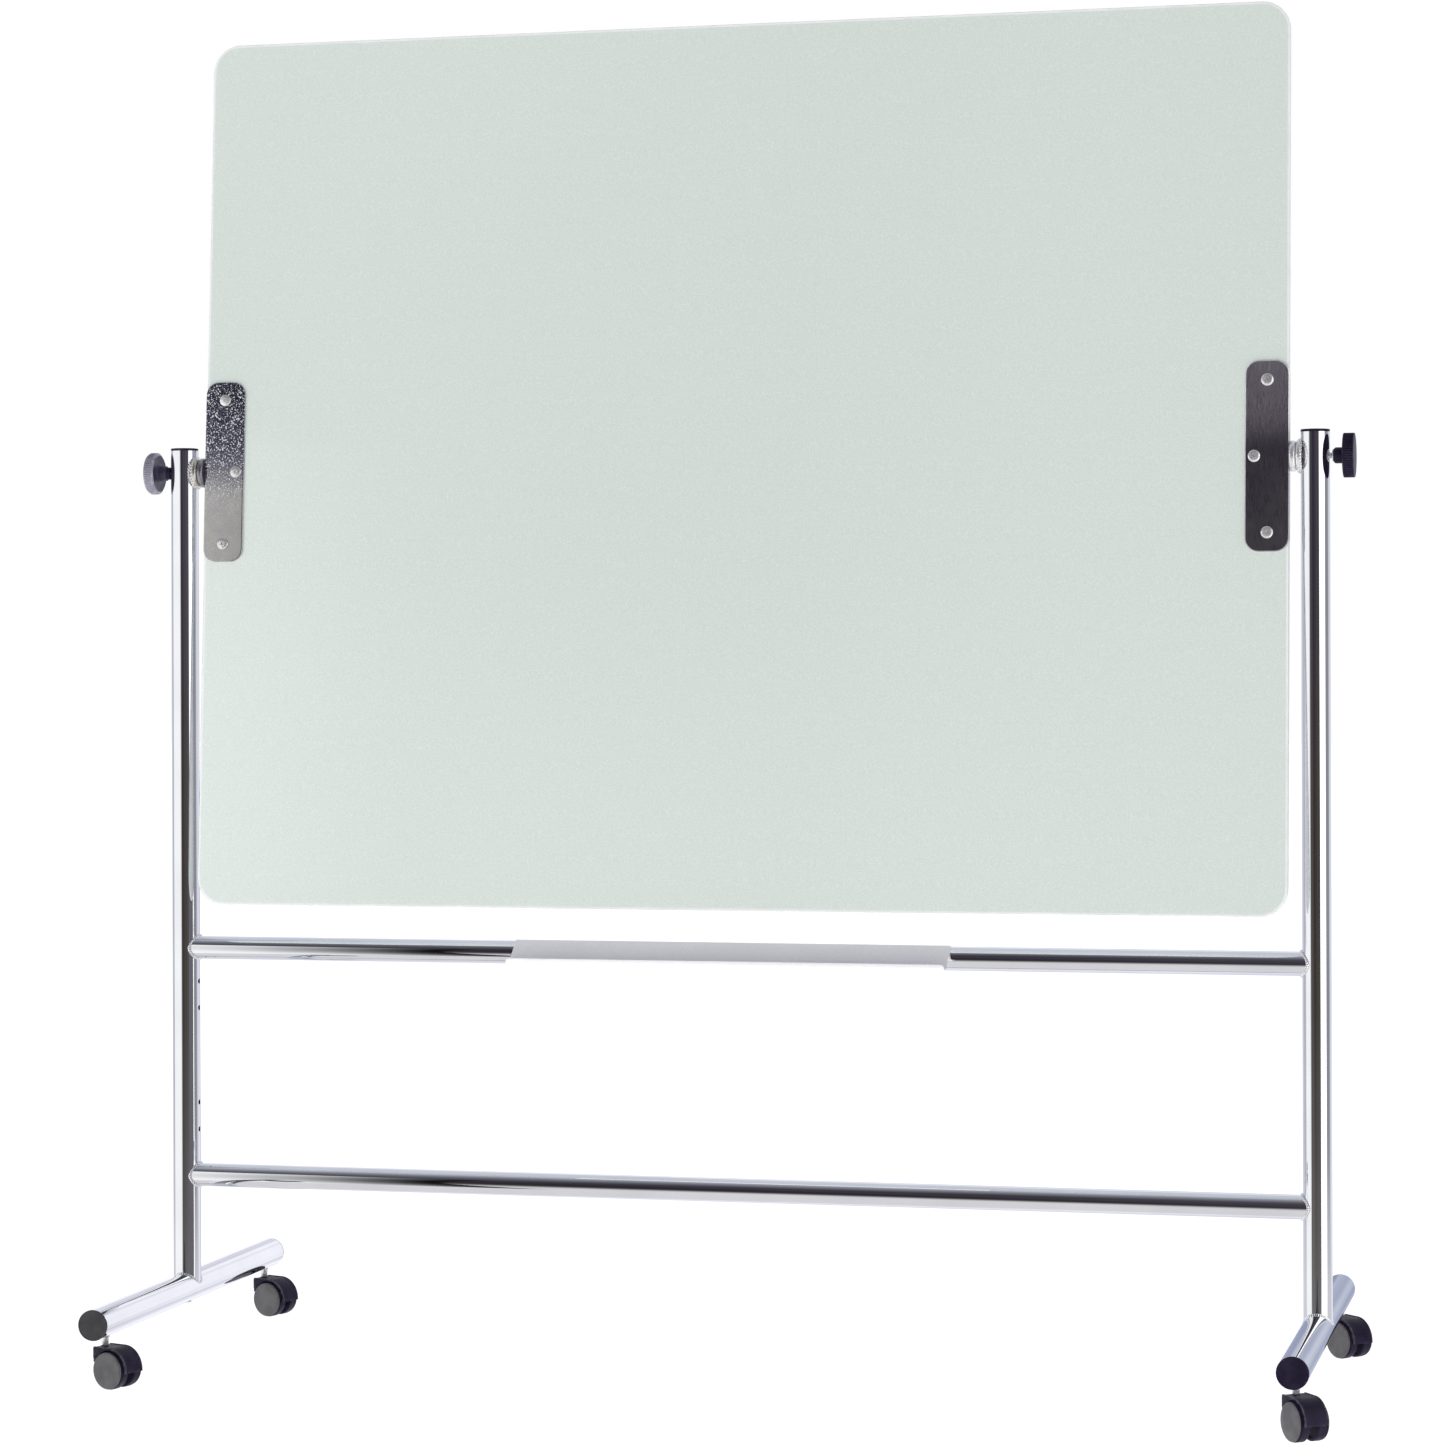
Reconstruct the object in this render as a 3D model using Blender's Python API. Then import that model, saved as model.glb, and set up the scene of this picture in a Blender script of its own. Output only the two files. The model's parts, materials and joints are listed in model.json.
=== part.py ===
"""Rolling whiteboard: a revolving glass board between two chromed posts on a wheeled H-shaped stand.

Frame: +X runs along the board to the right, +Y points to the rear, +Z points up. The origin lies on the
floor, midway between the four casters. All sizes are in metres.
"""

import math

import bmesh
import bpy
from mathutils import Matrix, Vector

# Board
BOARD_WIDTH = 1.500
BOARD_HEIGHT = 1.200
BOARD_CORNER = 0.038
GLASS = 0.004
CORE = 0.0008
CORE_INSET = 0.0020
BOARD_TILT = math.radians(3.7)
PIVOT_Z = 1.2207

# Clamps at the two ends of the board's tilting axis
PLATE_WIDTH = 0.057
PLATE_HEIGHT = 0.250
PLATE_CORNER = 0.018
PLATE = 0.003
SCREW_SPACING = 0.100
SCREW_OFFSET = 0.017
SCREW_HEAD = 0.0081
SCREW_HEIGHT = 0.0030
SCREW_RECESS = 0.0020
SCREW_RECESS_DEPTH = 0.0014
SCREW_SHANK = 0.0040
HUB_RADIUS = 0.0205
HUB_LENGTH = 0.0084
HUB_EDGE = 0.0012

# Stand
POST_X = 0.783
POST_RADIUS = 0.019
POST_TOP = 1.2551
TUBE_WALL = 0.0018
FOOT_RADIUS = 0.020
FOOT_Z = 0.087
FOOT_FRONT = -0.333
FOOT_REAR = 0.331
CROSSBAR_RADIUS = 0.016
UPPER_CROSSBAR_Z = 0.560
LOWER_CROSSBAR_Z = 0.2435
CAP_LIP = 0.0030
CAP_PLUG = 0.014
CAP_EDGE = 0.0010
FOOT_CAP_RADIUS = 0.0204
COLLAR_RADIUS = 0.0215
COLLAR_BORE = 0.0165
COLLAR_FACE_X = 0.7590
COLLAR_REACH = 0.0075
COLLAR_EDGE = 0.0015

# Holes in the posts: heights on each side, with the radius that belongs to them
OUTER_HOLES = (0.882, 0.691, 0.500, 0.306)
INNER_HOLES = (0.513, 0.476, 0.3445, 0.307)
OUTER_HOLE_RADIUS = 0.0060
INNER_HOLE_RADIUS = 0.0035
RIGHT_POST_HOLE = 0.446

# Pen tray, as (forward, up) from the upper crossbar's axis
TRAY_HALF_LENGTH = 0.301
TRAY_SHEET = 0.0012
TRAY_BEND_POINTS = ((0.006, 0.0172), (0.041, -0.0110), (0.056, -0.0110), (0.056, -0.0040))

# Clamping knobs
KNOB_RADIUS = 0.029
KNOB_DISC = 0.015
KNOB_HUB_RADIUS = 0.0105
KNOB_HUB = 0.0125
KNOB_EDGE = 0.0015
KNOB_BLIND = 0.006
STUD_RADIUS = 0.0040
STUD_BORE = 0.0050
STUD_TIP_X = 0.7525
LEFT_WASHER = 0.0050
RIGHT_WASHER = 0.0015
WASHER_RADIUS = 0.0085
RIGHT_KNOB_SLACK = 0.0030

# Casters
WHEEL_RADIUS = 0.025
WHEEL_INNER = 0.0060
WHEEL_OUTER = 0.0225
WHEEL_EDGE = 0.0010
TRAIL = 0.0210
AXLE_RADIUS = 0.0030
AXLE_HALF = 0.0188
HOOD_HALF_WIDTH = 0.0165
HOOD_WEB = 0.0050
HOOD_INSIDE = 0.0263
HOOD_OUTSIDE = 0.0290
HOOD_DECK = 0.0540
HOOD_FRONT = -0.0060
HOOD_FRONT_LOW = 0.0350
HOOD_BEVEL = 0.0020
HOOD_REAR_ANGLE = -4
HOOD_AXLE_EYE = 0.0075
HOOD_SOCKET = 0.0057
HOOD_SOCKET_LOW = 0.0300
STEM_LOW = 0.0345
STEM_RADIUS = 0.0040
STEM_COLLAR = 0.0047
STEM_FLANGE = 0.0061
STEM_FLANGE_HEIGHT = 0.0040
STEM_GRIP = 0.0050
STEM_SHORT_OF_AXIS = 0.0020
CASTERS = {
    "front_left": (-POST_X, -0.293, math.radians(-19)),
    "rear_left": (-POST_X, 0.303, math.radians(-19)),
    "front_right": (POST_X, -0.293, math.radians(-54)),
    "rear_right": (POST_X, 0.303, math.radians(-44)),
}

# Foot joint
FOOT_BOLT_RADIUS = 0.0040
FOOT_BOLT_HEAD = 0.0060
FOOT_BOLT_HEAD_HEIGHT = 0.0020
PLUG_CLEARANCE = 0.0020
PLUG_LENGTH = 0.030
BOLT_SHORT_OF_PLUG = 0.0060

GAP = 0.0003
TUBE_SIDES = 24
COPE_SIDES = 32
ROUND_SIDES = 12
DRILL_SIDES = 12
SHANK_HOLE_SIDES = 8
DRILL = 0.05
KNOB_SIDES = 24
WHEEL_SIDES = 24
LEFT, RIGHT = -1, 1
ALONG_X = Matrix.Rotation(math.radians(90), 4, "Y")
ALONG_Y = Matrix.Rotation(math.radians(-90), 4, "X")


# ---------------------------------------------------------------- scene and materials


def clear_scene():
    for item in list(bpy.data.objects):
        bpy.data.objects.remove(item, do_unlink=True)


def make_material(name, colour, roughness, metallic):
    material = bpy.data.materials.new(name)
    material.use_nodes = True
    shader = material.node_tree.nodes["Principled BSDF"]
    shader.inputs["Base Color"].default_value = (*colour, 1.0)
    shader.inputs["Roughness"].default_value = roughness
    shader.inputs["Metallic"].default_value = metallic
    return material


def add_piece(name, mesh, look, parent=None, matrix=None):
    """Links one sub-part into the scene, with a material of its own."""
    colour, roughness, metallic = look
    piece = bpy.data.objects.new(name, mesh)
    mesh.name = name
    piece.data.materials.clear()
    piece.data.materials.append(make_material(name, colour, roughness, metallic))
    piece.data.shade_smooth()
    piece.data.set_sharp_from_angle(angle=math.radians(35))
    bpy.context.scene.collection.objects.link(piece)
    if parent is not None:
        piece.parent = parent
    if matrix is not None:
        piece.matrix_local = matrix
    return piece


def add_axis(name, location, rotation=(0.0, 0.0, 0.0)):
    """An empty on a joint's axis, which the moving pieces hang from."""
    axis = bpy.data.objects.new(name, None)
    axis.empty_display_size = 0.05
    axis.location = location
    axis.rotation_euler = rotation
    bpy.context.scene.collection.objects.link(axis)
    return axis


CHROME = ((0.82, 0.83, 0.86), 0.08, 1.0)
ZINC = ((0.72, 0.72, 0.70), 0.28, 1.0)
DARK_STEEL = ((0.16, 0.15, 0.17), 0.30, 1.0)
BLACK_PLASTIC = ((0.022, 0.021, 0.028), 0.42, 0.0)
GREY_PLASTIC = ((0.085, 0.085, 0.095), 0.38, 0.0)
PAINTED_GLASS = ((0.72, 0.78, 0.74), 0.06, 0.0)
SHEET_STEEL = ((0.55, 0.56, 0.57), 0.35, 1.0)
PALE_ENAMEL = ((0.74, 0.73, 0.79), 0.32, 0.0)


# ---------------------------------------------------------------- shape helpers


def mesh_of(shape):
    """A mesh from a bmesh, with its faces turned outwards."""
    bmesh.ops.recalc_face_normals(shape, faces=shape.faces)
    mesh = bpy.data.meshes.new("shape")
    shape.to_mesh(mesh)
    shape.free()
    return mesh


def turned(profile, sides, closed=False, phase=0.0):
    """Turns (radius, height) points about Z. A closed profile makes a ring, an open one starts and ends
    on the axis."""
    shape = bmesh.new()
    rings = []
    for radius, height in profile:
        count = 1 if radius == 0.0 else sides
        angles = [phase + 2 * math.pi * step / sides for step in range(count)]
        rings.append(
            [shape.verts.new((radius * math.cos(a), radius * math.sin(a), height)) for a in angles]
        )
    pairs = list(zip(rings, rings[1:]))
    if closed:
        pairs.append((rings[-1], rings[0]))
    for first, second in pairs:
        for step in range(sides):
            ahead = (step + 1) % sides
            corners = [
                first[step % len(first)],
                first[ahead % len(first)],
                second[ahead % len(second)],
                second[step % len(second)],
            ]
            shape.faces.new(list(dict.fromkeys(corners)))
    return mesh_of(shape)


def rod(radius, low, high, sides=ROUND_SIDES, phase=0.0):
    return turned(((0.0, low), (radius, low), (radius, high), (0.0, high)), sides, phase=phase)


def tube(outside, inside, low, high, sides=TUBE_SIDES):
    profile = ((inside, low), (outside, low), (outside, high), (inside, high))
    return turned(profile, sides, closed=True, phase=math.pi / sides)


def prism(outline, low, high):
    """Extrudes an (x, y) outline along Z."""
    shape = bmesh.new()
    base = shape.faces.new([shape.verts.new((x, y, low)) for x, y in outline])
    grown = bmesh.ops.extrude_face_region(shape, geom=[base], use_keep_orig=True)
    raised = [item for item in grown["geom"] if isinstance(item, bmesh.types.BMVert)]
    bmesh.ops.translate(shape, verts=raised, vec=(0.0, 0.0, high - low))
    return mesh_of(shape)


def rounded_rectangle(width, height, radius, steps=4):
    points = []
    for quarter, (across, up) in enumerate(((1, 1), (-1, 1), (-1, -1), (1, -1))):
        centre = (across * (width / 2 - radius), up * (height / 2 - radius))
        for step in range(steps + 1):
            angle = math.pi / 2 * (quarter + step / steps)
            points.append(
                (centre[0] + radius * math.cos(angle), centre[1] + radius * math.sin(angle))
            )
    return points


def moved(mesh, matrix):
    mesh.transform(matrix)
    if matrix.determinant() < 0:
        mesh.flip_normals()
    return mesh


def shifted(mesh, x=0.0, y=0.0, z=0.0):
    return moved(mesh, Matrix.Translation((x, y, z)))


def combined(body, tool, operation="DIFFERENCE"):
    """The Boolean of two meshes, as a new mesh."""
    pair = [bpy.data.objects.new(name, mesh) for name, mesh in (("body", body), ("tool", tool))]
    for item in pair:
        bpy.context.scene.collection.objects.link(item)
    modifier = pair[0].modifiers.new("combine", "BOOLEAN")
    modifier.operation = operation
    modifier.solver = "EXACT"
    modifier.object = pair[1]
    bpy.context.view_layer.update()
    graph = bpy.context.evaluated_depsgraph_get()
    result = bpy.data.meshes.new_from_object(pair[0].evaluated_get(graph))
    for item in pair:
        bpy.data.objects.remove(item, do_unlink=True)
    return result


# ---------------------------------------------------------------- stand


def build_post(side):
    """A round tube coped over the foot, bored for the pivot stud, with the small holes of its side."""
    name = "left" if side == LEFT else "right"
    post = tube(POST_RADIUS, POST_RADIUS - TUBE_WALL, FOOT_Z, POST_TOP - CAP_LIP)
    saddle = moved(rod(FOOT_RADIUS + GAP, -DRILL, DRILL, COPE_SIDES), ALONG_Y)
    post = combined(post, shifted(saddle, z=FOOT_Z))
    holes = [(0, PIVOT_Z, STUD_BORE)]
    if side == LEFT:
        holes += [(side, height, OUTER_HOLE_RADIUS) for height in OUTER_HOLES]
        holes += [(-side, height, INNER_HOLE_RADIUS) for height in INNER_HOLES]
    else:
        holes += [(-side, RIGHT_POST_HOLE, INNER_HOLE_RADIUS)]
    for towards, height, radius in holes:
        low = -DRILL if towards <= 0 else 0.0
        high = DRILL if towards >= 0 else 0.0
        drill = moved(rod(radius, low, high, DRILL_SIDES), ALONG_X)
        post = combined(post, shifted(drill, z=height))
    add_piece(f"{name}_post", post, CHROME, matrix=Matrix.Translation((side * POST_X, 0, 0)))


def build_post_cap(side):
    name = "left" if side == LEFT else "right"
    plug = POST_RADIUS - TUBE_WALL - GAP
    lip = POST_TOP - CAP_LIP + GAP
    profile = (
        (0.0, lip - CAP_PLUG),
        (plug, lip - CAP_PLUG),
        (plug, lip),
        (POST_RADIUS, lip),
        (POST_RADIUS, POST_TOP - CAP_EDGE),
        (POST_RADIUS - CAP_EDGE, POST_TOP),
        (0.0, POST_TOP),
    )
    cap = turned(profile, TUBE_SIDES, phase=math.pi / TUBE_SIDES)
    add_piece(f"{name}_post_cap", cap, BLACK_PLASTIC, matrix=Matrix.Translation((side * POST_X, 0, 0)))


def build_foot(side):
    """A round tube along Y, drilled for its bolt and for the two caster stems."""
    name = "left" if side == LEFT else "right"
    foot = tube(FOOT_RADIUS, FOOT_RADIUS - TUBE_WALL, FOOT_FRONT, FOOT_REAR)
    foot = moved(foot, ALONG_Y)
    foot = combined(foot, rod(FOOT_BOLT_RADIUS + 2 * GAP, -DRILL, DRILL, DRILL_SIDES))
    for corner, (x, y, _) in CASTERS.items():
        if corner.endswith(name):
            drill = rod(STEM_GRIP + 2 * GAP, -DRILL, 0.0, DRILL_SIDES)
            foot = combined(foot, shifted(drill, y=y))
    place = Matrix.Translation((side * POST_X, 0, FOOT_Z))
    add_piece(f"{name}_foot", foot, CHROME, matrix=place)


def build_foot_caps(side):
    """Round end caps, each with a plug inside the tube and a lip that covers the tube's end."""
    name = "left" if side == LEFT else "right"
    plug = FOOT_RADIUS - TUBE_WALL - GAP
    profile = (
        (0.0, -CAP_PLUG),
        (plug, -CAP_PLUG),
        (plug, GAP),
        (FOOT_CAP_RADIUS, GAP),
        (FOOT_CAP_RADIUS, CAP_LIP - CAP_EDGE),
        (FOOT_CAP_RADIUS - CAP_EDGE, CAP_LIP),
        (0.0, CAP_LIP),
    )
    for end, y, turn in (("front", FOOT_FRONT, 90), ("rear", FOOT_REAR, -90)):
        cap = turned(profile, TUBE_SIDES, phase=math.pi / TUBE_SIDES)
        cap = moved(cap, Matrix.Rotation(math.radians(turn), 4, "X"))
        place = Matrix.Translation((side * POST_X, y, FOOT_Z))
        add_piece(f"{name}_foot_{end}_cap", cap, BLACK_PLASTIC, matrix=place)


def build_foot_joint(side):
    """A threaded plug in the post's lower end, and the bolt that draws it down on to the foot."""
    name = "left" if side == LEFT else "right"
    bottom = FOOT_Z + FOOT_RADIUS + PLUG_CLEARANCE
    bolt_top = bottom + PLUG_LENGTH - BOLT_SHORT_OF_PLUG
    profile = (
        (FOOT_BOLT_RADIUS + GAP, bottom),
        (POST_RADIUS - TUBE_WALL - GAP, bottom),
        (POST_RADIUS - TUBE_WALL - GAP, bottom + PLUG_LENGTH),
        (FOOT_BOLT_RADIUS + GAP, bottom + PLUG_LENGTH),
    )
    plug = turned(profile, TUBE_SIDES, closed=True, phase=math.pi / TUBE_SIDES)
    place = Matrix.Translation((side * POST_X, 0, 0))
    add_piece(f"{name}_post_plug", plug, ZINC, matrix=place)
    seat = FOOT_Z - FOOT_RADIUS - GAP
    outline = (
        (0.0, seat - FOOT_BOLT_HEAD_HEIGHT),
        (FOOT_BOLT_HEAD, seat - FOOT_BOLT_HEAD_HEIGHT),
        (FOOT_BOLT_HEAD, seat),
        (FOOT_BOLT_RADIUS, seat),
        (FOOT_BOLT_RADIUS, bolt_top),
        (0.0, bolt_top),
    )
    add_piece(f"{name}_foot_bolt", turned(outline, ROUND_SIDES), ZINC, matrix=place)


def build_crossbar(name, height):
    """A round tube whose ends are coped to sit against the posts."""
    bar = moved(tube(CROSSBAR_RADIUS, CROSSBAR_RADIUS - TUBE_WALL, -POST_X, POST_X), ALONG_X)
    for side in (LEFT, RIGHT):
        cope = rod(POST_RADIUS + GAP, -DRILL, DRILL, COPE_SIDES)
        bar = combined(bar, shifted(cope, x=side * POST_X))
    add_piece(name, bar, CHROME, matrix=Matrix.Translation((0, 0, height)))


def build_collar(side):
    """The spacer ring on the inner side of a post, coped round the tube that it is welded to."""
    name = "left" if side == LEFT else "right"
    profile = (
        (COLLAR_BORE, 0.0),
        (COLLAR_RADIUS - COLLAR_EDGE, 0.0),
        (COLLAR_RADIUS, COLLAR_EDGE),
        (COLLAR_RADIUS, COLLAR_REACH),
        (COLLAR_BORE, COLLAR_REACH),
    )
    ring = moved(turned(profile, TUBE_SIDES, closed=True, phase=math.pi / TUBE_SIDES), ALONG_X)
    ring = shifted(ring, x=COLLAR_FACE_X - POST_X)
    ring = combined(ring, rod(POST_RADIUS + GAP, -DRILL, DRILL, COPE_SIDES))
    flip = Matrix.Scale(side, 4, (1, 0, 0))
    place = Matrix.Translation((side * POST_X, 0, PIVOT_Z))
    add_piece(f"{name}_post_collar", moved(ring, flip), ZINC, matrix=place)


def build_tray():
    """A folded strip: a slope against the crossbar, a flat floor and an upturned front lip."""
    path = [Vector((-forward, up)) for forward, up in TRAY_BEND_POINTS]
    normals = []
    for start, end in zip(path, path[1:]):
        along = (end - start).normalized()
        normals.append(Vector((-along.y, along.x)))
    offsets = [normals[0]]
    for first, second in zip(normals, normals[1:]):
        middle = (first + second).normalized()
        offsets.append(middle / middle.dot(first))
    offsets.append(normals[-1])
    half = TRAY_SHEET / 2
    outer = [tuple(point + offset * half) for point, offset in zip(path, offsets)]
    inner = [tuple(point - offset * half) for point, offset in zip(path, offsets)]
    strip = prism(outer + inner[::-1], -TRAY_HALF_LENGTH, TRAY_HALF_LENGTH)
    turn = Matrix(((0, 0, 1, 0), (1, 0, 0, 0), (0, 1, 0, 0), (0, 0, 0, 1)))
    place = Matrix.Translation((0, 0, UPPER_CROSSBAR_Z))
    add_piece("pen_tray", moved(strip, turn), PALE_ENAMEL, matrix=place)


def build_stand():
    for side in (LEFT, RIGHT):
        build_post(side)
        build_post_cap(side)
        build_foot(side)
        build_foot_caps(side)
        build_foot_joint(side)
        build_collar(side)
    build_crossbar("upper_crossbar", UPPER_CROSSBAR_Z)
    build_crossbar("lower_crossbar", LOWER_CROSSBAR_Z)
    build_tray()


# ---------------------------------------------------------------- board


def screw_places():
    """(x, z) of the six clamp screws in the board's own frame, with their names."""
    centre = (BOARD_WIDTH - PLATE_WIDTH) / 2
    for side, word in ((LEFT, "left"), (RIGHT, "right")):
        yield f"{word}_clamp_screw_top", side * centre, SCREW_SPACING
        yield f"{word}_clamp_screw_middle", side * (centre - SCREW_OFFSET), 0.0
        yield f"{word}_clamp_screw_bottom", side * centre, -SCREW_SPACING


def upright_sheet(outline, centre, near, far):
    """Extrudes an (x, z) outline along Y, then bores it for the clamp screws that meet it."""
    stand_up = Matrix.Rotation(math.radians(90), 4, "X")
    sheet = shifted(moved(prism(outline, -far, -near), stand_up), x=centre)
    reach = max(x for x, _ in outline)
    for _, x, z in screw_places():
        if abs(x - centre) < reach:
            drill = moved(rod(SCREW_SHANK + GAP, -DRILL, DRILL, SHANK_HOLE_SIDES), ALONG_Y)
            sheet = combined(sheet, shifted(drill, x=x, z=z))
    return sheet


def build_board():
    pivot = add_axis("board_pivot", (0, 0, PIVOT_Z), (-BOARD_TILT, 0, 0))
    face = rounded_rectangle(BOARD_WIDTH, BOARD_HEIGHT, BOARD_CORNER)
    core = rounded_rectangle(
        BOARD_WIDTH - 2 * CORE_INSET, BOARD_HEIGHT - 2 * CORE_INSET, BOARD_CORNER - CORE_INSET
    )
    near = CORE / 2 + GAP
    far = near + GLASS
    add_piece("front_glass", upright_sheet(face, 0, -far, -near), PAINTED_GLASS, pivot)
    add_piece("steel_core", upright_sheet(core, 0, -CORE / 2, CORE / 2), SHEET_STEEL, pivot)
    add_piece("rear_glass", upright_sheet(face, 0, near, far), PAINTED_GLASS, pivot)
    plate = rounded_rectangle(PLATE_WIDTH, PLATE_HEIGHT, PLATE_CORNER)
    inside = far + GAP
    outside = inside + PLATE
    for side, word in ((LEFT, "left"), (RIGHT, "right")):
        centre = side * (BOARD_WIDTH - PLATE_WIDTH) / 2
        front = upright_sheet(plate, centre, -outside, -inside)
        rear = upright_sheet(plate, centre, inside, outside)
        add_piece(f"{word}_clamp_front_plate", front, DARK_STEEL, pivot)
        add_piece(f"{word}_clamp_rear_plate", rear, DARK_STEEL, pivot)
        build_hub(side, word, pivot)
    build_clamp_screws(outside + GAP, pivot)


def build_hub(side, word, pivot):
    """The threaded boss on the edge of a clamp. The knob's stud runs in its bore."""
    profile = (
        (STUD_RADIUS + GAP, 0.0),
        (HUB_RADIUS - HUB_EDGE, 0.0),
        (HUB_RADIUS, HUB_EDGE),
        (HUB_RADIUS, HUB_LENGTH - HUB_EDGE),
        (HUB_RADIUS - HUB_EDGE, HUB_LENGTH),
        (STUD_RADIUS + GAP, HUB_LENGTH),
    )
    hub = turned(profile, TUBE_SIDES, closed=True, phase=math.pi / TUBE_SIDES)
    hub = shifted(moved(hub, ALONG_X), x=BOARD_WIDTH / 2 + GAP)
    add_piece(f"{word}_pivot_hub", moved(hub, Matrix.Scale(side, 4, (1, 0, 0))), DARK_STEEL, pivot)


def build_clamp_screws(seat, pivot):
    """Low round heads with a small drive recess, and shanks that pass through the whole board."""
    top = seat + SCREW_HEIGHT
    profile = (
        (0.0, top - SCREW_RECESS_DEPTH),
        (SCREW_RECESS, top - SCREW_RECESS_DEPTH),
        (SCREW_RECESS, top),
        (SCREW_HEAD * 0.73, top),
        (SCREW_HEAD * 0.93, seat + SCREW_HEIGHT * 0.7),
        (SCREW_HEAD, seat + SCREW_HEIGHT * 0.27),
        (SCREW_HEAD, seat),
        (SCREW_SHANK, seat),
        (SCREW_SHANK, -top),
        (0.0, -top),
    )
    stand_out = Matrix.Rotation(math.radians(90), 4, "X")
    for name, x, z in screw_places():
        screw = moved(turned(profile, ROUND_SIDES), stand_out)
        add_piece(name, shifted(screw, x=x, z=z), ZINC, pivot)


# ---------------------------------------------------------------- knobs


def build_knob(side, word, washer, slack):
    """A knob on a threaded stud, with its captive washer. The stud crosses the post into the hub."""
    axis_x = POST_X + POST_RADIUS + GAP
    axis = add_axis(f"{word}_knob_axis", (side * axis_x, 0, PIVOT_Z))
    ring = (
        (STUD_RADIUS + GAP, slack),
        (WASHER_RADIUS, slack),
        (WASHER_RADIUS, slack + washer),
        (STUD_RADIUS + GAP, slack + washer),
    )
    hub = slack + washer + GAP
    disc = hub + KNOB_HUB
    top = disc + KNOB_DISC
    blind = top - KNOB_BLIND
    knob = (
        (0.0, blind),
        (STUD_RADIUS + GAP, blind),
        (STUD_RADIUS + GAP, hub),
        (KNOB_HUB_RADIUS - KNOB_EDGE, hub),
        (KNOB_HUB_RADIUS, hub + KNOB_EDGE),
        (KNOB_HUB_RADIUS, disc),
        (KNOB_RADIUS - KNOB_EDGE, disc),
        (KNOB_RADIUS, disc + KNOB_EDGE),
        (KNOB_RADIUS, top - KNOB_DISC * 0.27),
        (KNOB_RADIUS * 0.95, top - KNOB_DISC * 0.15),
        (KNOB_RADIUS * 0.55, top - KNOB_DISC * 0.04),
        (0.0, top),
    )
    tip = STUD_TIP_X - axis_x + slack
    butt = blind - GAP
    stud = ((0.0, tip), (STUD_RADIUS, tip), (STUD_RADIUS, butt), (0.0, butt))
    flip = Matrix.Scale(side, 4, (1, 0, 0))
    pieces = (
        (f"{word}_knob_washer", turned(ring, ROUND_SIDES, closed=True), ZINC),
        (f"{word}_knob", turned(knob, KNOB_SIDES), BLACK_PLASTIC),
        (f"{word}_knob_stud", turned(stud, ROUND_SIDES), ZINC),
    )
    for name, mesh, look in pieces:
        add_piece(name, moved(moved(mesh, ALONG_X), flip), look, axis)


# ---------------------------------------------------------------- casters


def arc(radius, first, last, step):
    """Points (x, z) on a circle about the axle, from one angle in degrees to another."""
    angles = [math.radians(degrees) for degrees in range(first, last + 1, step)]
    return [(TRAIL + radius * math.cos(a), WHEEL_RADIUS + radius * math.sin(a)) for a in angles]


def hood_mesh():
    """The caster's cover, in a frame with the stem on Z, the trail along +X and the axle along Y. An arch
    as wide as the wheels follows them from the low rear edge over the top to the front, and a central
    web joins it to the axle and holds the stem."""
    outside = arc(HOOD_OUTSIDE, HOOD_REAR_ANGLE, 86, 15)
    outside.append((TRAIL, HOOD_DECK))
    outside.append((HOOD_FRONT + HOOD_BEVEL, HOOD_DECK))
    outside.append((HOOD_FRONT, HOOD_DECK - HOOD_BEVEL))
    outside.append((HOOD_FRONT, HOOD_FRONT_LOW))
    inside = arc(HOOD_INSIDE, HOOD_REAR_ANGLE, 160, 18)
    stand = Matrix.Rotation(math.radians(90), 4, "X")
    arch = moved(prism(outside + inside[::-1], -HOOD_HALF_WIDTH, HOOD_HALF_WIDTH), stand)
    eye = arc(HOOD_AXLE_EYE, HOOD_REAR_ANGLE - 180, HOOD_REAR_ANGLE, 30)
    front = (HOOD_FRONT + HOOD_WEB, HOOD_SOCKET_LOW)
    crown = arc(HOOD_INSIDE + HOOD_BEVEL / 2, 12, 140, 16)
    web = moved(prism(crown + [front] + eye, -HOOD_WEB, HOOD_WEB), stand)
    hood = combined(arch, web, "UNION")
    hood = combined(hood, rod(HOOD_SOCKET, HOOD_SOCKET_LOW, HOOD_DECK), "UNION")
    hood = combined(hood, rod(STEM_RADIUS + GAP, STEM_LOW - 2 * GAP, HOOD_DECK + DRILL))
    axle_bore = moved(rod(AXLE_RADIUS + GAP, -DRILL, DRILL, DRILL_SIDES), ALONG_Y)
    return combined(hood, shifted(axle_bore, x=TRAIL, z=WHEEL_RADIUS))


def wheel_mesh():
    """A wheel on Z, with its bored inner side low and its domed face high."""
    profile = (
        (0.0, AXLE_HALF + GAP),
        (AXLE_RADIUS + GAP, AXLE_HALF + GAP),
        (AXLE_RADIUS + GAP, WHEEL_INNER),
        (WHEEL_RADIUS - WHEEL_EDGE, WHEEL_INNER),
        (WHEEL_RADIUS, WHEEL_INNER + WHEEL_EDGE),
        (WHEEL_RADIUS, WHEEL_OUTER - 3.5 * WHEEL_EDGE),
        (WHEEL_RADIUS * 0.95, WHEEL_OUTER - 1.7 * WHEEL_EDGE),
        (WHEEL_RADIUS * 0.60, WHEEL_OUTER - 0.5 * WHEEL_EDGE),
        (0.0, WHEEL_OUTER),
    )
    return turned(profile, WHEEL_SIDES, phase=math.pi / WHEEL_SIDES)


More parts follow.
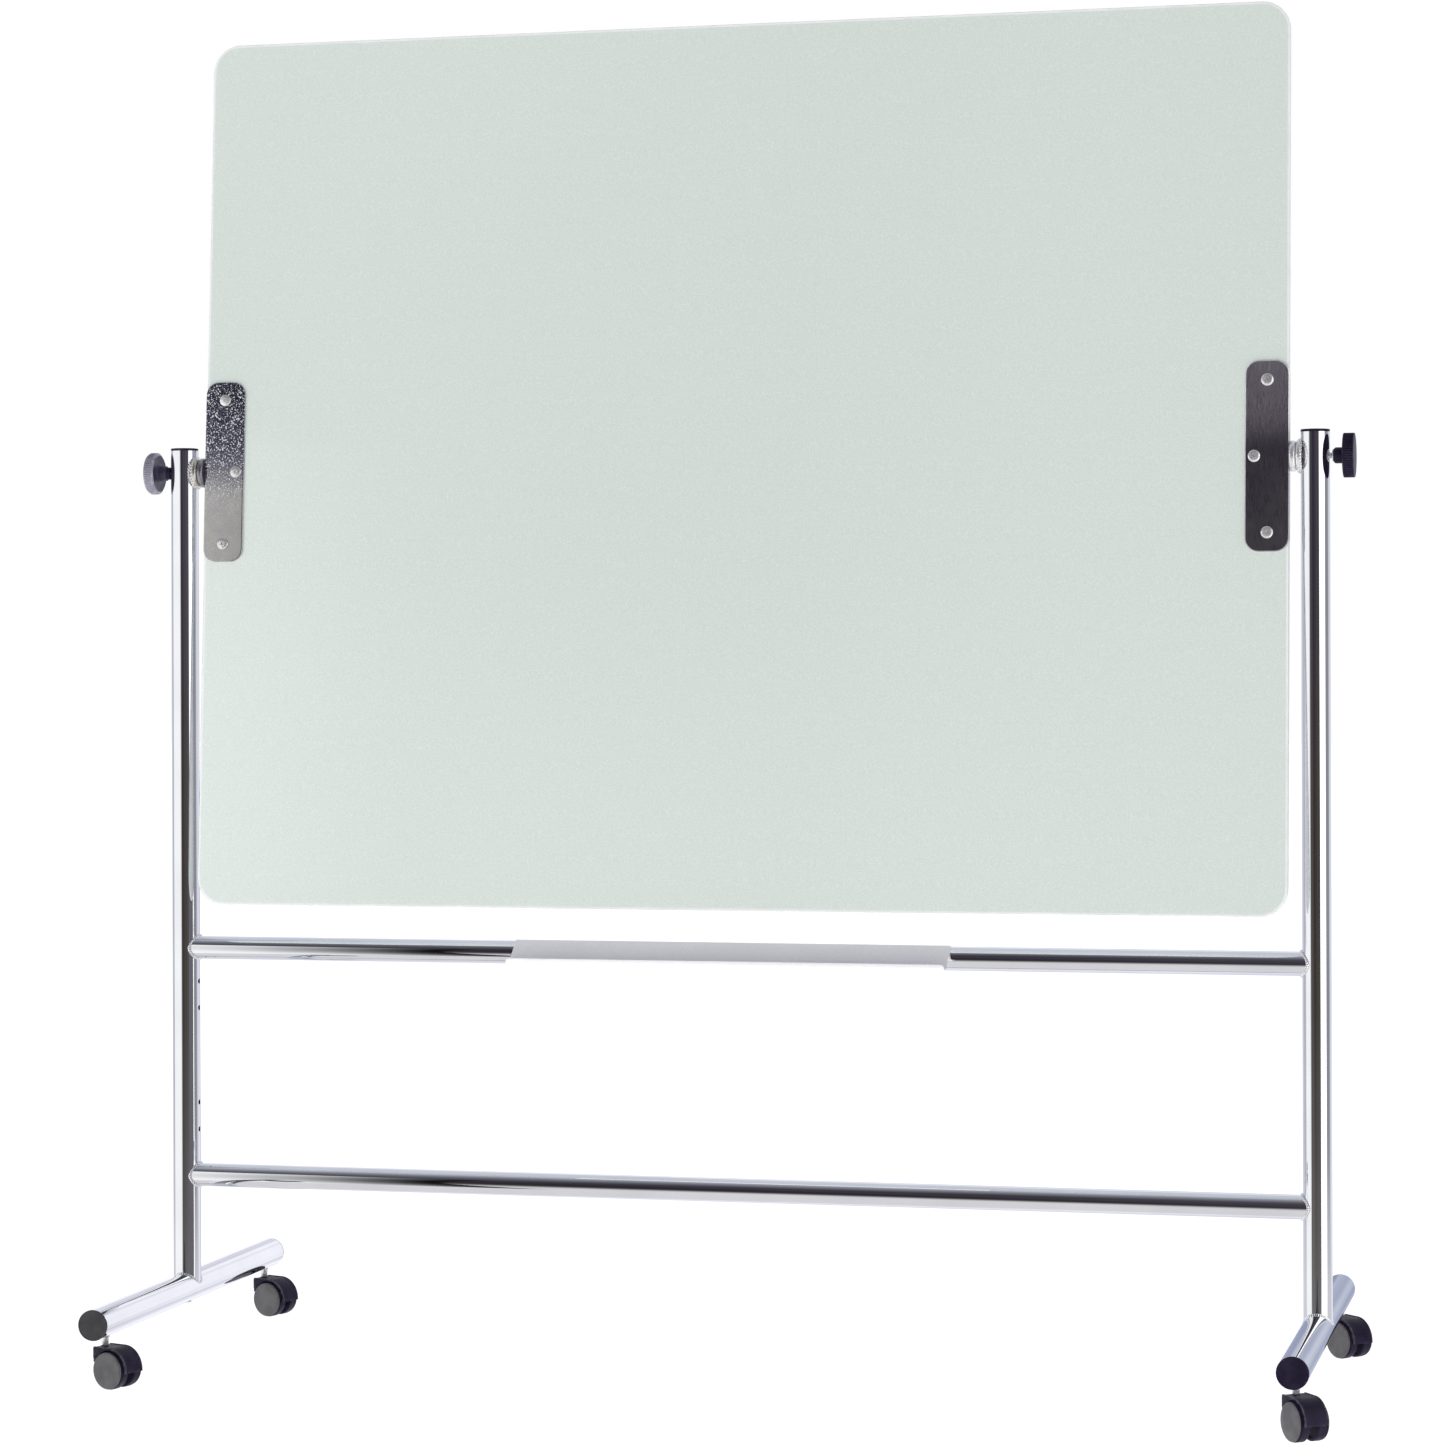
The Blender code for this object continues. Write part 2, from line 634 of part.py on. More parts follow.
def stem_mesh():
    """The stem: a shank in the hood's socket, a stepped collar under the foot and a grip inside it."""
    under = FOOT_Z - FOOT_RADIUS - GAP
    shoulder = HOOD_DECK + 3 * GAP
    profile = (
        (0.0, STEM_LOW),
        (STEM_RADIUS, STEM_LOW),
        (STEM_RADIUS, shoulder),
        (STEM_COLLAR, shoulder),
        (STEM_COLLAR, under - STEM_FLANGE_HEIGHT),
        (STEM_FLANGE, under - STEM_FLANGE_HEIGHT),
        (STEM_FLANGE, under),
        (STEM_GRIP, under),
        (STEM_GRIP, FOOT_Z - STEM_SHORT_OF_AXIS),
        (0.0, FOOT_Z - STEM_SHORT_OF_AXIS),
    )
    return turned(profile, ROUND_SIDES)


def build_casters():
    for corner, (x, y, heading) in CASTERS.items():
        stem_place = Matrix.Translation((x, y, 0))
        add_piece(f"{corner}_caster_stem", stem_mesh(), ZINC, matrix=stem_place)
        swivel = add_axis(f"{corner}_swivel", (x, y, 0), (0, 0, heading))
        add_piece(f"{corner}_caster_hood", hood_mesh(), BLACK_PLASTIC, swivel)
        centre = Matrix.Translation((TRAIL, 0, WHEEL_RADIUS))
        axle = rod(AXLE_RADIUS, -AXLE_HALF, AXLE_HALF)
        add_piece(f"{corner}_caster_axle", moved(axle, ALONG_Y), ZINC, swivel, centre)
        for word, turn in (("near", 90), ("far", -90)):
            wheel = moved(wheel_mesh(), Matrix.Rotation(math.radians(turn), 4, "X"))
            add_piece(f"{corner}_{word}_wheel", wheel, GREY_PLASTIC, swivel, centre)


def main():
    clear_scene()
    build_stand()
    build_board()
    build_knob(LEFT, "left", LEFT_WASHER, 0.0)
    build_knob(RIGHT, "right", RIGHT_WASHER, RIGHT_KNOB_SLACK)
    build_casters()
    bpy.context.view_layer.update()


main()
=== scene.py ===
"""The finished look of a rolling whiteboard: a revolving glass board on a chromed tube stand.

Frame: +X runs along the board to the right, +Y points to the rear, +Z points up; metres throughout.
"""

import json
import logging
import math
from dataclasses import dataclass, field, replace
from enum import Enum
from typing import Any, Sequence

import bmesh
import bpy
import numpy as np
from mathutils import Matrix, Vector


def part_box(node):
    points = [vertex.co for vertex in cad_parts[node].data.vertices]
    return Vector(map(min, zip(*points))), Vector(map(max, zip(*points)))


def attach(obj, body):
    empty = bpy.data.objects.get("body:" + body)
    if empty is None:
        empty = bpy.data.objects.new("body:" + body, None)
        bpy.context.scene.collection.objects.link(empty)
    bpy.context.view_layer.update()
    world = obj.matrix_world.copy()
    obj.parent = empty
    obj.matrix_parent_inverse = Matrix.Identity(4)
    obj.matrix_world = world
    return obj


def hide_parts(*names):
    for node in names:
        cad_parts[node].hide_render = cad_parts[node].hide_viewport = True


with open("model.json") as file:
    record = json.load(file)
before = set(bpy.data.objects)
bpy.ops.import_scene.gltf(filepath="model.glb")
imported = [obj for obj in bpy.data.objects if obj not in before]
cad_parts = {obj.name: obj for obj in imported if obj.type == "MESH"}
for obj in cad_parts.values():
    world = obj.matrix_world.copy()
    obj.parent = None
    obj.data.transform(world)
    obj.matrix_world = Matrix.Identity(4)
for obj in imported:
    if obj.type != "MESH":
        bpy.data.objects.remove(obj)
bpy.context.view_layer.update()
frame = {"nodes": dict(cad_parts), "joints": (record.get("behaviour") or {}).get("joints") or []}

log = logging.getLogger("whiteboard")
Socket = bpy.types.NodeSocket
Look = bpy.types.Material
Colour = tuple[float, float, float]
Line = Sequence[Sequence[float]]

GAP = 0.0003
TAU = 2 * math.pi
DRILL_SIDES = 32
ALONG_X = Matrix.Rotation(math.radians(90), 4, "Y")
ALONG_Y = Matrix.Rotation(math.radians(-90), 4, "X")


class Side(Enum):
    """The two ends of the stand."""

    LEFT = -1
    RIGHT = 1

    @property
    def word(self) -> str:
        """The side's name as the CAD nodes spell it."""
        return self.name.lower()


class Corner(Enum):
    """The four casters."""

    FRONT_LEFT = "front_left"
    REAR_LEFT = "rear_left"
    FRONT_RIGHT = "front_right"
    REAR_RIGHT = "rear_right"


class Slot(Enum):
    """The record's material slots."""

    CHROME = "chrome"
    ZINC = "zinc"
    DARK_STEEL = "dark_steel"
    BLACK_PLASTIC = "black_plastic"
    WHEEL_PLASTIC = "wheel_plastic"
    PAINTED_GLASS = "painted_glass"
    SHEET_STEEL = "sheet_steel"
    PALE_ENAMEL = "pale_enamel"


# ---------------------------------------------------------------- surfaces


@dataclass
class Shell:
    """A closed surface.

    Attributes:
        points: its points, one row of three each.
        quads: its four-sided faces, as rows of point numbers.
        caps: its many-sided end faces, as lists of point numbers.
        look: which of the piece's finishes it wears.
    """

    points: np.ndarray
    quads: np.ndarray
    caps: list[list[int]]
    look: int = 0

    def moved(self, *matrices: Matrix) -> "Shell":
        """The same surface after each matrix in turn."""
        points = self.points
        for matrix in matrices:
            m = np.array(matrix)
            points = points @ m[:3, :3].T + m[:3, 3]
        return replace(self, points=points)

    def worn(self, look: int) -> "Shell":
        """The same surface in another of the piece's finishes."""
        return replace(self, look=look)

    def parted(self, at: int, look: int) -> list["Shell"]:
        """Two surfaces on the same points: the quads before this number, and the rest in another finish."""
        first = replace(self, quads=self.quads[:at])
        return [first, replace(self, quads=self.quads[at:], caps=[], look=look)]


def grid(points: np.ndarray, loop: bool = False, ends: bool = False) -> Shell:
    """A surface through rows of points, each row closed on itself.

    Args:
        points: rows x columns x 3.
        loop: joins the last row to the first one.
        ends: closes the first and the last row with one face each.

    Returns:
        The surface.
    """
    rows, columns = points.shape[:2]
    index = np.arange(rows * columns).reshape(rows, columns)
    ahead = np.roll(index, -1, axis=1)
    above, above_ahead = np.roll(index, -1, axis=0), np.roll(ahead, -1, axis=0)
    quads = np.stack([index, ahead, above_ahead, above], axis=-1)
    quads = (quads if loop else quads[:-1]).reshape(-1, 4)
    caps = [index[0][::-1].tolist(), index[-1].tolist()] if ends else []
    return Shell(points.reshape(-1, 3), quads, caps)


def softened(corners: Line, radius: float, steps: int = 3) -> np.ndarray:
    """Rounds the corners of an open line.

    Each inner corner B becomes the curve (1-t)^2 P + 2t(1-t) B + t^2 Q, where P and Q lie on the two
    neighbouring runs at the given distance from B, or at nearly half of a shorter run.

    Args:
        corners: the line's corners.
        radius: how far from a corner its curve starts.
        steps: how many pieces each curve has.

    Returns:
        The points of the softened line.
    """
    line = np.array(corners, float)
    before, corner, after = line[:-2], line[1:-1], line[2:]
    back, on = before - corner, after - corner
    back_length = np.linalg.norm(back, axis=1, keepdims=True)
    on_length = np.linalg.norm(on, axis=1, keepdims=True)
    cut = np.minimum(radius, 0.48 * np.minimum(back_length, on_length))
    first, last = corner + back / back_length * cut, corner + on / on_length * cut
    t = np.linspace(0, 1, steps + 1)[None, :, None]
    curves = (1 - t) ** 2 * first[:, None] + 2 * t * (1 - t) * corner[:, None] + t**2 * last[:, None]
    return np.vstack([line[:1], curves.reshape(-1, line.shape[1]), line[-1:]])


def round_angles(count: int) -> np.ndarray:
    """Evenly spaced angles once round, from 0."""
    return TAU * np.arange(count) / count


def turned(profile: Line, sides: int, loop: bool = False) -> Shell:
    """Turns a profile about Z: the point (r, h) at angle a lies at (r cos a, r sin a, h).

    Args:
        profile: rows of radius and height. An open one starts and ends on the axis.
        sides: how many points go round.
        loop: joins the profile's ends, which makes a ring.

    Returns:
        The turned surface.
    """
    profile = np.asarray(profile, float)
    angle = round_angles(sides)
    radius, height = profile[:, :1], profile[:, 1:]
    points = np.stack([radius * np.cos(angle), radius * np.sin(angle), height + 0 * angle], axis=-1)
    return grid(points, loop=loop)


def carried(
    path: np.ndarray, across: np.ndarray, up: np.ndarray, outline: np.ndarray, loop: bool = False
) -> Shell:
    """Carries a closed outline along a path: each point is path + u * across + v * up.

    Args:
        path: rows of three.
        across: the direction of the outline's first number at each row, or one for all.
        up: the direction of its second number.
        outline: rows of (u, v), or one such set for every row of the path.
        loop: joins the path's ends.

    Returns:
        The surface, with flat ends on an open path.
    """
    outline = np.broadcast_to(outline, (len(path), *outline.shape[-2:]))
    across = np.broadcast_to(across, path.shape)[:, None]
    up = np.broadcast_to(up, path.shape)[:, None]
    points = path[:, None] + outline[..., :1] * across + outline[..., 1:] * up
    return grid(points, loop=loop, ends=not loop)


def rounded_outline(width: float, height: float, radius: float, steps: int = 8) -> np.ndarray:
    """A rectangle with round corners: four quarter circles about the corner centres, joined by straight runs.

    Args:
        width: its whole first extent.
        height: its whole second extent.
        radius: the corner radius.
        steps: how many pieces a quarter circle has.

    Returns:
        Rows of (u, v).
    """
    quarter = np.repeat(np.arange(4), steps + 1)
    angle = math.pi / 2 * (quarter + np.tile(np.linspace(0, 1, steps + 1), 4))
    u = np.array([1, -1, -1, 1])[quarter] * (width / 2 - radius) + radius * np.cos(angle)
    v = np.array([1, 1, -1, -1])[quarter] * (height / 2 - radius) + radius * np.sin(angle)
    return np.stack([u, v], axis=-1)


def plate(width: float, height: float, radius: float, rings: np.ndarray, steps: int = 8) -> Shell:
    """A flat plate: round-cornered outlines, one for each (inset, depth) ring, stacked along Z.

    Args:
        width: extent along X.
        height: extent along Y.
        radius: the corner radius.
        rings: rows of inset and depth, from the plate's back to its front.
        steps: how many pieces a quarter circle has.

    Returns:
        The plate.
    """
    insets = np.asarray(rings)[:, 0]
    outlines = np.array([rounded_outline(width - 2 * i, height - 2 * i, radius - i, steps) for i in insets])
    depth = np.broadcast_to(np.asarray(rings)[:, 1][:, None], outlines.shape[:2])
    return grid(np.dstack([outlines, depth]), ends=True)


def bead(path: np.ndarray, outward: np.ndarray, radius: float, ripples: int, depth: float = 0.3) -> Shell:
    """A bead of weld: a circle carried round a closed path.

    At angle a along the path its radius is scaled by 1 + depth (|sin(n a / 2)| - 0.6), for n ripples,
    and by two slower waves that make it look uneven.

    Args:
        path: the closed path, as rows of three.
        outward: the direction away from both parts at each row.
        radius: the mean radius.
        ripples: how many ripples go round.
        depth: how much a ripple swells, as a share of the radius.

    Returns:
        The bead.
    """
    along = np.roll(path, -1, axis=0) - np.roll(path, 1, axis=0)
    along /= np.linalg.norm(along, axis=1, keepdims=True)
    up = outward - along * (outward * along).sum(axis=1, keepdims=True)
    up /= np.linalg.norm(up, axis=1, keepdims=True)
    turn = round_angles(len(path))
    ripple = depth * (np.abs(np.sin(ripples * turn / 2)) - 0.6)
    swell = 1 + ripple + 0.13 * np.sin(3 * turn + 1) + 0.09 * np.sin(7 * turn)
    angle = round_angles(12)
    ring = radius * swell[:, None, None] * np.stack([np.cos(angle), np.sin(angle)], axis=-1)
    return carried(path, up, np.cross(along, up), ring, loop=True)


def rows_beside(points: np.ndarray, places: Sequence[float], reach: float) -> np.ndarray:
    """Row heights with extra rows beside each place, so that a hole there only cuts short faces."""
    near = np.array([place + step for place in places for step in (-reach, reach)])
    return np.unique(np.concatenate([points, near]))


# ---------------------------------------------------------------- pieces


def mesh_from(name: str, shells: Sequence[Shell], sharp: float) -> bpy.types.Mesh:
    """Puts surfaces into one mesh, merges poles and seams, and turns every face outwards.

    Args:
        name: the mesh's name.
        shells: the surfaces.
        sharp: an edge bent by more than this many degrees stays sharp.

    Returns:
        The mesh.
    """
    starts = np.cumsum([0, *(len(s.points) for s in shells)])
    faces = []
    for shell, start in zip(shells, starts):
        faces.append((shell.quads + start).tolist() + [[i + start for i in cap] for cap in shell.caps])
    mesh = bpy.data.meshes.new(name)
    mesh.from_pydata(np.vstack([s.points for s in shells]).tolist(), [], sum(faces, []))
    looks = np.repeat([s.look for s in shells], [len(f) for f in faces])
    mesh.polygons.foreach_set("material_index", looks.astype(np.int32))
    shape = bmesh.new()
    shape.from_mesh(mesh)
    bmesh.ops.remove_doubles(shape, verts=shape.verts, dist=1e-7)
    bmesh.ops.dissolve_degenerate(shape, edges=shape.edges, dist=1e-8)
    bmesh.ops.recalc_face_normals(shape, faces=shape.faces)
    shape.to_mesh(mesh)
    shape.free()
    mesh.shade_smooth()
    mesh.set_sharp_from_angle(angle=math.radians(sharp))
    return mesh


def carve(piece: bpy.types.Object, drills: Sequence[Shell], sharp: float) -> None:
    """Cuts holes in a piece.

    Args:
        piece: the piece.
        drills: the closed surfaces to take out of it.
        sharp: as in mesh_from.
    """
    tool = bpy.data.objects.new("drills", mesh_from("drills", drills, sharp))
    bpy.context.scene.collection.objects.link(tool)
    modifier = piece.modifiers.new("holes", "BOOLEAN")
    modifier.solver = "EXACT"
    modifier.object = tool
    bpy.context.view_layer.update()
    graph = bpy.context.evaluated_depsgraph_get()
    cut = bpy.data.meshes.new_from_object(piece.evaluated_get(graph))
    piece.modifiers.clear()
    piece.data = cut
    cut.set_sharp_from_angle(angle=math.radians(sharp))
    bpy.data.objects.remove(tool, do_unlink=True)


def add_piece(
    name: str,
    shells: Sequence[Shell],
    looks: Sequence[Look],
    body: str,
    stands_for: Sequence[str] = (),
    drills: Sequence[Shell] = (),
    sharp: float = 32,
) -> bpy.types.Object:
    """Adds one finished piece, riding on a body.

    Args:
        name: the piece's name.
        shells: its surfaces.
        looks: its finishes, in the order of the surfaces' looks.
        body: the CAD body that it moves with.
        stands_for: the CAD nodes that it replaces.
        drills: surfaces to cut out of it.
        sharp: an edge bent by more than this many degrees stays sharp.

    Returns:
        The piece.
    """
    piece = bpy.data.objects.new(name, mesh_from(name, shells, sharp))
    bpy.context.scene.collection.objects.link(piece)
    for look in looks:
        piece.data.materials.append(look)
    if drills:
        carve(piece, drills, sharp)
    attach(piece, body)
    if stands_for:
        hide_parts(*stands_for)
    log.info("%s: %d faces on %s", name, len(piece.data.polygons), body)
    return piece


def dress_node(node: str, look: Look) -> None:
    """Gives a carried-over CAD node a finish."""
    piece = frame["nodes"][node]
    piece.data.materials.clear()
    piece.data.materials.append(look)
    log.info("%s: carried over", node)


def centre_of(node: str) -> Vector:
    """The middle of a CAD node's box."""
    low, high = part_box(node)
    return (low + high) / 2


# ---------------------------------------------------------------- finishes


class Nodes:
    """A node tree in the making, with a short call for each node used here."""

    def __init__(self, tree: bpy.types.NodeTree) -> None:
        """Works on this tree."""
        self.tree = tree

    def add(self, kind: str, inputs: dict[Any, Any] | None = None, **settings: Any) -> bpy.types.Node:
        """Adds a node.

        Args:
            kind: its type, without the ShaderNode at the front.
            inputs: a value or an output for each named or numbered input.
            **settings: the node's own properties.

        Returns:
            The node.
        """
        node = self.tree.nodes.new("ShaderNode" + kind)
        for name, value in settings.items():
            setattr(node, name, value)
        self.feed(node, inputs or {})
        return node

    def feed(self, node: bpy.types.Node, inputs: dict[Any, Any]) -> None:
        """Sets or links a node's inputs."""
        for key, value in inputs.items():
            if isinstance(value, Socket):
                self.tree.links.new(value, node.inputs[key])
            else:
                node.inputs[key].default_value = value

    def object_place(self, stretch: Sequence[float] = (1, 1, 1)) -> Socket:
        """Object coordinates, scaled along each axis."""
        place = self.add("TexCoord").outputs["Object"]
        return self.add("Mapping", {"Vector": place, "Scale": stretch}).outputs["Vector"]

    def noise(self, scale: float, detail: float = 2, stretch: Sequence[float] = (1, 1, 1)) -> Socket:
        """Smooth noise from 0 to 1 over the object."""
        inputs = {"Vector": self.object_place(stretch), "Scale": scale, "Detail": detail}
        return self.add("TexNoise", inputs).outputs[0]

    def span(self, value: Any, start: float, end: float, low: float = 0, high: float = 1) -> Socket:
        """Maps start..end smoothly on to low..high, and holds beyond."""
        inputs = {0: value, 1: start, 2: end, 3: low, 4: high}
        return self.add("MapRange", inputs, interpolation_type="SMOOTHSTEP").outputs[0]

    def mix(self, share: Any, first: Any, second: Any, blend: str = "MIX") -> Socket:
        """Mixes two colours."""
        colours = [(*c, 1) if isinstance(c, tuple) and len(c) == 3 else c for c in (first, second)]
        inputs = {0: share, 6: colours[0], 7: colours[1]}
        return self.add("Mix", inputs, data_type="RGBA", blend_type=blend).outputs[2]

    def maths(self, operation: str, first: Any, second: Any = 0.0) -> Socket:
        """One arithmetic step."""
        return self.add("Math", {0: first, 1: second}, operation=operation).outputs[0]


@dataclass(frozen=True)
class Finish:
    """A surface finish: a mottled colour, a grain, and a roughness that follows both.

    Attributes:
        name: its name.
        dark: the mottling's darker colour.
        light: its lighter colour; where tone are given, also the colour of the painted reflection higher up.
        metallic: 1 for metal.
        rough: the lowest and the highest roughness.
        mottle: the mottling's scale.
        grain: the grain's scale.
        stretch: the grain's scale along each axis.
        relief: the grain's height in metres.
        wave: height in metres of a slow waviness that bends reflections.
        wave_scale: its scale.
        coat: weight of a clear coat.
        coat_rough: its roughness.
        specular: how strongly a non-metal reflects.
        fade: heights between which the relief and the painted glints grow from nothing, or None.
        flakes: scale of small pale spots painted as glints, or 0.
        tone: heights between which the light colour takes over from the mottling, a painted reflection that
            grades the piece up its height, or None.
        worn: colour of rubbed edges, or None.
    """

    name: str
    dark: Colour
    light: Colour
    metallic: float = 0.0
    rough: tuple[float, float] = (0.3, 0.5)
    mottle: float = 25.0
    grain: float = 900.0
    stretch: tuple[float, float, float] = (1, 1, 1)
    relief: float = 0.00001
    wave: float = 0.0
    wave_scale: float = 14.0
    coat: float = 0.0
    coat_rough: float = 0.03
    specular: float = 0.5
    fade: tuple[float, float] | None = None
    flakes: float = 0.0
    tone: tuple[float, float] | None = None
    worn: Colour | None = None

    @staticmethod
    def level(nodes: Nodes, heights: tuple[float, float]) -> Socket:
        """0 below the first of these heights and 1 above the second."""
        return nodes.span(nodes.add("SeparateXYZ", {0: nodes.object_place()}).outputs[2], *heights)

    def colour(self, nodes: Nodes, grain: Socket) -> Socket:
        """The base colour: mottled, specked by the grain, rubbed at the edges, and where heights are given
        graded into a painted reflection higher up.

        Args:
            nodes: the tree.
            grain: the grain's value.

        Returns:
            The colour's output.
        """
        mottling = nodes.span(nodes.noise(self.mottle, 4), 0.3, 0.7)
        # painted reflection: above the given heights the light colour takes over, standing in for the
        # surroundings that the metal reflects
        if self.tone is not None:
            faint = nodes.maths("MULTIPLY", mottling, 0.12)
            mottling = nodes.maths("MAXIMUM", faint, self.level(nodes, self.tone))
        base = nodes.mix(mottling, self.dark, self.light)
        specks = nodes.span(grain, 0.35, 0.75, 0.94, 1.04)
        speck_colour = nodes.add("CombineColor", {0: specks, 1: specks, 2: specks}).outputs[0]
        base = nodes.mix(1.0, base, speck_colour, "MULTIPLY")
        if self.worn is not None:
            edge = nodes.span(nodes.add("NewGeometry").outputs["Pointiness"], 0.515, 0.60)
            rubbed = nodes.maths("MULTIPLY", edge, nodes.span(nodes.noise(160, 3), 0.4, 0.65))
            base = nodes.mix(rubbed, base, self.worn)
        return base

    def build(self) -> Look:
        """Makes the material.

        Returns:
            The material.
        """
        material = bpy.data.materials.new(self.name)
        material.use_nodes = True
        nodes = Nodes(material.node_tree)
        shader = material.node_tree.nodes["Principled BSDF"]
        grain = nodes.noise(self.grain, 3, self.stretch)
        smudge = nodes.noise(self.mottle * 0.45, 5)
        wear = nodes.maths("ADD", nodes.maths("MULTIPLY", grain, 0.4), nodes.maths("MULTIPLY", smudge, 0.6))
        rough = nodes.span(wear, 0.32, 0.68, *self.rough)
        height = nodes.maths("MULTIPLY", grain, self.relief)
        if self.fade is not None:
            height = nodes.maths("MULTIPLY", height, self.level(nodes, self.fade))
        if self.wave:
            wave = nodes.maths("MULTIPLY", nodes.noise(self.wave_scale, 1), self.wave)
            height = nodes.maths("ADD", height, wave)
        bump = nodes.add("Bump", {"Height": height, "Distance": 1.0, "Strength": 1.0})
        colour, metallic = self.colour(nodes, grain), self.metallic
        # painted glints: pale, less metallic spots higher up, standing in for hammered facets catching the
        # light
        if self.flakes and self.fade is not None:
            painted_glints = nodes.span(nodes.noise(self.flakes, 2), 0.55, 0.63)
            painted_glints = nodes.maths("MULTIPLY", painted_glints, self.level(nodes, self.fade))
            colour = nodes.mix(painted_glints, colour, (0.86, 0.87, 0.92))
            metallic = nodes.maths("SUBTRACT", self.metallic, nodes.maths("MULTIPLY", painted_glints, 0.7))
        nodes.feed(
            shader,
            {
                "Base Color": colour,
                "Metallic": metallic,
                "Roughness": rough,
                "Normal": bump.outputs[0],
                "Coat Weight": self.coat,
                "Coat Roughness": self.coat_rough,
                "Specular IOR Level": self.specular,
            },
        )
        return material


def finished(*values: Any, **more: Any) -> Any:
    """A palette entry that builds its material, from the values of a Finish."""
    return field(default_factory=Finish(*values, **more).build)


@dataclass(frozen=True)
class Palette:
    """Every finish on the object."""

    chrome: Look = finished(
        "bright_chrome", (0.79, 0.80, 0.83), (0.84, 0.85, 0.88), 1.0, (0.015, 0.06),
        mottle=9, grain=1500, relief=2e-7, wave=2.5e-6, wave_scale=30,
    )
    weld: Look = finished(
        "plated_weld", (0.78, 0.77, 0.80), (0.93, 0.93, 0.96), 0.85, (0.12, 0.28),
        mottle=90, grain=700, relief=4e-5,
    )
    zinc: Look = finished(
        "zinc_plate", (0.74, 0.73, 0.72), (0.92, 0.92, 0.94), 0.7, (0.18, 0.34),
        mottle=70, grain=1100, relief=1.2e-5,
    )
    brassy_zinc: Look = finished(
        "passivated_zinc", (0.62, 0.59, 0.42), (0.90, 0.90, 0.93), 0.85, (0.12, 0.26),
        mottle=48, grain=900, relief=1.5e-5,
    )
    # left clamp plates: grey metal low down, with a painted dark violet reflection and painted glints towards
    # the top
    hammered_painted_reflection: Look = finished(
        "hammered_nickel", (0.475, 0.465, 0.455), (0.13, 0.13, 0.19), 1.0, (0.05, 0.12),
        mottle=60, grain=400, relief=1.6e-4, fade=(1.13, 1.27), flakes=470, tone=(1.17, 1.26),
    )
    # right clamp plates and left hub: dark brushed metal, painted lighter towards the top as a reflection
    brushed_painted_reflection: Look = finished(
        "brushed_nickel", (0.34, 0.32, 0.36), (0.98, 0.95, 0.98), 1.0, (0.26, 0.42),
        mottle=11, grain=900, stretch=(1.0, 1.0, 0.04), relief=4e-6, wave=6e-5, wave_scale=9,
        tone=(1.225, 1.28),
    )
    black: Look = finished(
        "black_moulding", (0.010, 0.006, 0.022), (0.019, 0.013, 0.036), 0.0, (0.34, 0.5),
        mottle=60, grain=1600, relief=2.5e-5, specular=0.13, worn=(0.07, 0.062, 0.095),
    )
    # dark grey moulding: the left foot caps' colour; on the caster hoods' lips, a painted highlight along the
    # hood's edges
    dark_grey: Look = finished(
        "dark_grey_moulding", (0.036, 0.035, 0.040), (0.052, 0.051, 0.057), 0.0, (0.36, 0.5),
        mottle=60, grain=1500, relief=2.5e-5, specular=0.25, worn=(0.09, 0.085, 0.11),
    )
    # left knob's hub and dished face: the knob's moulding darkened as painted shade
    knob_face_painted_shade: Look = finished(
        "deep_violet_moulding", (0.034, 0.031, 0.060), (0.052, 0.048, 0.086), 0.0, (0.3, 0.45),
        mottle=60, grain=1500, relief=2.5e-5, specular=0.25, worn=(0.12, 0.11, 0.17),
    )
    grey: Look = finished(
        "grey_moulding", (0.072, 0.072, 0.078), (0.110, 0.110, 0.114), 0.0, (0.3, 0.5),
        mottle=55, grain=1400, relief=4e-5, specular=0.45, worn=(0.24, 0.24, 0.25),
    )
    # left knob's rim: the same moulding lightened as painted light
    knob: Look = finished(
        "violet_grey_moulding", (0.22, 0.21, 0.27), (0.29, 0.28, 0.34), 0.0, (0.3, 0.45),
        mottle=70, grain=1500, relief=2.5e-5, specular=0.4, worn=(0.55, 0.54, 0.60),
    )
    glass: Look = finished(
        "back_painted_glass", (0.715, 0.780, 0.735), (0.725, 0.790, 0.745), 0.0, (0.3, 0.36),
        mottle=1.3, grain=500, relief=0.0, wave=2e-5, wave_scale=1.2, coat=1.0, coat_rough=0.02,
    )
    # glass edge and rim: the polished edge, painted paler than its own colour as a highlight where the arris
    # catches the light
    glass_edge_painted_highlight: Look = finished(
        "polished_glass_edge", (0.86, 0.89, 0.88), (0.92, 0.94, 0.93), 0.0, (0.1, 0.18),
        mottle=30, grain=800, relief=3e-6, coat=1.0,
    )
    enamel: Look = finished(
        "pale_powder_coat", (0.93, 0.915, 0.93), (0.96, 0.945, 0.96), 0.0, (0.28, 0.4),
        mottle=20, grain=650, relief=1.6e-5,
    )
    sheet: Look = finished(
        "galvanised_sheet", (0.45, 0.46, 0.47), (0.60, 0.61, 0.62), 1.0, (0.25, 0.45),
        mottle=120, grain=700, relief=1e-5,
    )


# ---------------------------------------------------------------- stand


